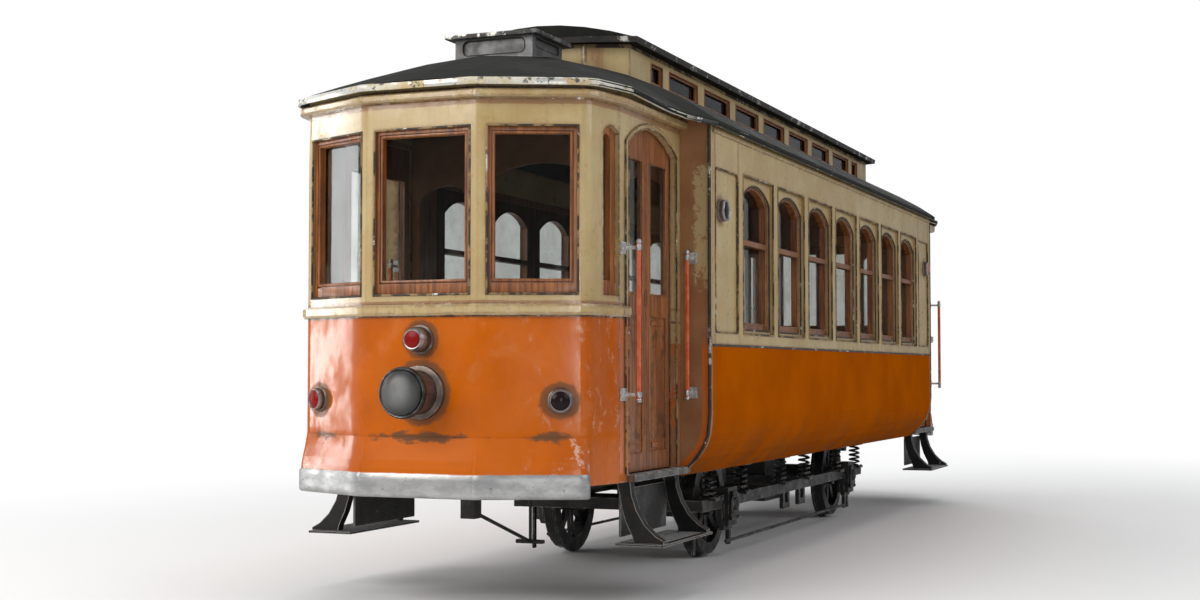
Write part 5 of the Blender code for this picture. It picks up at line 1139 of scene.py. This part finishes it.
def make_axle_boxes():
    """Cast covers with lugs and bolts on the boxes, with nuts at each spring's foot."""
    cover = ((-0.07, -0.095), (0.07, -0.095), (0.082, -0.06), (0.074, 0.06), (0.05, 0.105),
             (-0.05, 0.105), (-0.074, 0.06), (-0.082, -0.06))
    cap = [(0.0, 0.024), (0.03, 0.022), (0.046, 0.014), (0.052, 0.0)]
    lugs = ((-0.06, -0.075), (0.06, -0.075), (-0.052, 0.08), (0.052, 0.08))
    parts = []
    for y in (-AXLE_Y, AXLE_Y):
        parts.append(slab([[(y + a, BOX_Z + b) for a, b in cover]], SIDE, 0.7445, 0.766, 0.007))
        parts.append(lathe(cap, 24, Matrix.Translation((0.764, y, 0.385)) @ turned("Y")))
        parts += bolts([(0.766, y + a, BOX_Z + b) for a, b in lugs], "X", 0.01, 0.008)
        parts += bolts([(0.71, y + a, z) for a in (-0.13, 0.13) for z in (0.39, 0.425)],
                       "X", 0.009, 0.008)
    for y in SPRING_FEET_Y:
        parts += bolts([(0.69 + a, y + b, 0.45) for a, b in crossed(0.05, 0.05)], "Z", 0.009, 0.008)
    both_sides(merged(parts), "axle_box_covers", "iron")


for make in (make_hoods, make_corner_mouldings, make_side_lamps, make_platform_windows, make_front_lamps,
             make_nosing, make_door_trim, make_rail_ends, make_opening_edges, make_side_strips,
             make_clerestory_trim, make_axle_boxes, make_step_trim, make_sign_trim, make_thresholds):
    make()


# Camera, floor, world and light

camera_data = bpy.data.cameras.new("camera")
camera_data.sensor_width = 36
camera_data.lens = 49.6
camera = bpy.data.objects.new("camera", camera_data)
camera.location = (4.3413, -12.9922, 1.3217)
camera.rotation_euler = (math.radians(92.457), 0, math.radians(22.309))
scene.collection.objects.link(camera)
scene.camera = camera


def studio_floor():
    """Pale floor that fades into the white backdrop away from the car, for the camera only."""
    p = Paint("studio_floor")
    far = p.made("ShaderNodeVectorMath", "Value", ((0, p.scaled((1.0, 0.55, 1.0))),), operation="LENGTH")
    seen = p.made("ShaderNodeLightPath", "Is Camera Ray")
    glow = p.made("ShaderNodeEmission", 0, (("Color", WHITE),))
    material = p.finish((0.8, 0.8, 0.79), 0.85)
    p.show("Material Output", p.span(far, 2.4, 8.5) * seen, Value(p, p.shader.outputs[0]), glow)
    return material


work = bmesh.new()
bmesh.ops.create_circle(work, cap_ends=True, segments=96, radius=60)
floor = from_bmesh(work)
floor.name = "studio_floor"
floor.data.materials.append(studio_floor())
floor.location.z = -0.0005

# The world lights the car faintly blue; the camera and the glass see white
world = bpy.data.worlds.new("studio")
scene.world = world
world.use_nodes = True
sky = Tree(world.node_tree)
faint = sky.made("ShaderNodeBackground", 0, (("Color", (0.92, 0.95, 1.0)), ("Strength", 0.34)))
plain = sky.made("ShaderNodeBackground", 0, (("Color", WHITE),))
direct = sky.most(*(sky.made("ShaderNodeLightPath", ray) for ray in ("Is Camera Ray", "Is Transmission Ray")))
sky.show("World Output", direct, faint, plain)


def lamp(name, place, target, size, energy, colour=WHITE):
    data = bpy.data.lights.new(name, "AREA")
    data.shape = "RECTANGLE"
    data.size, data.size_y = size
    data.energy = energy
    data.color = colour
    made = bpy.data.objects.new(name, data)
    made.location = place
    made.rotation_euler = (Vector(target) - Vector(place)).to_track_quat("-Z", "Y").to_euler()
    scene.collection.objects.link(made)


lamp("key", (-4.5, -13.0, 7.0), (0, -3.0, 1.6), (8, 6), 820, (1.0, 0.97, 0.93))
lamp("right_fill", (10.0, -4.0, 7.0), (0.5, 0, 1.6), (10, 6), 380, (0.98, 0.98, 1.0))
lamp("left_fill", (-10.0, 1.0, 7.0), (-0.5, 0, 1.6), (10, 6), 320, (0.98, 0.98, 1.0))
lamp("rear_fill", (-3.5, 13.5, 7.0), (0, 3.0, 1.6), (6, 5), 600)
lamp("strip_right", (4.78, -12.0, 2.0), (0.8, -4.75, 1.5), (0.36, 2.6), 42)
lamp("strip_left", (-8.0, -5.85, 2.3), (-0.8, -4.75, 1.9), (0.5, 4.2), 100)
lamp("top", (0, 0, 11.0), (0, 0, 2), (7, 15), 460)

scene.view_settings.view_transform = "Standard"
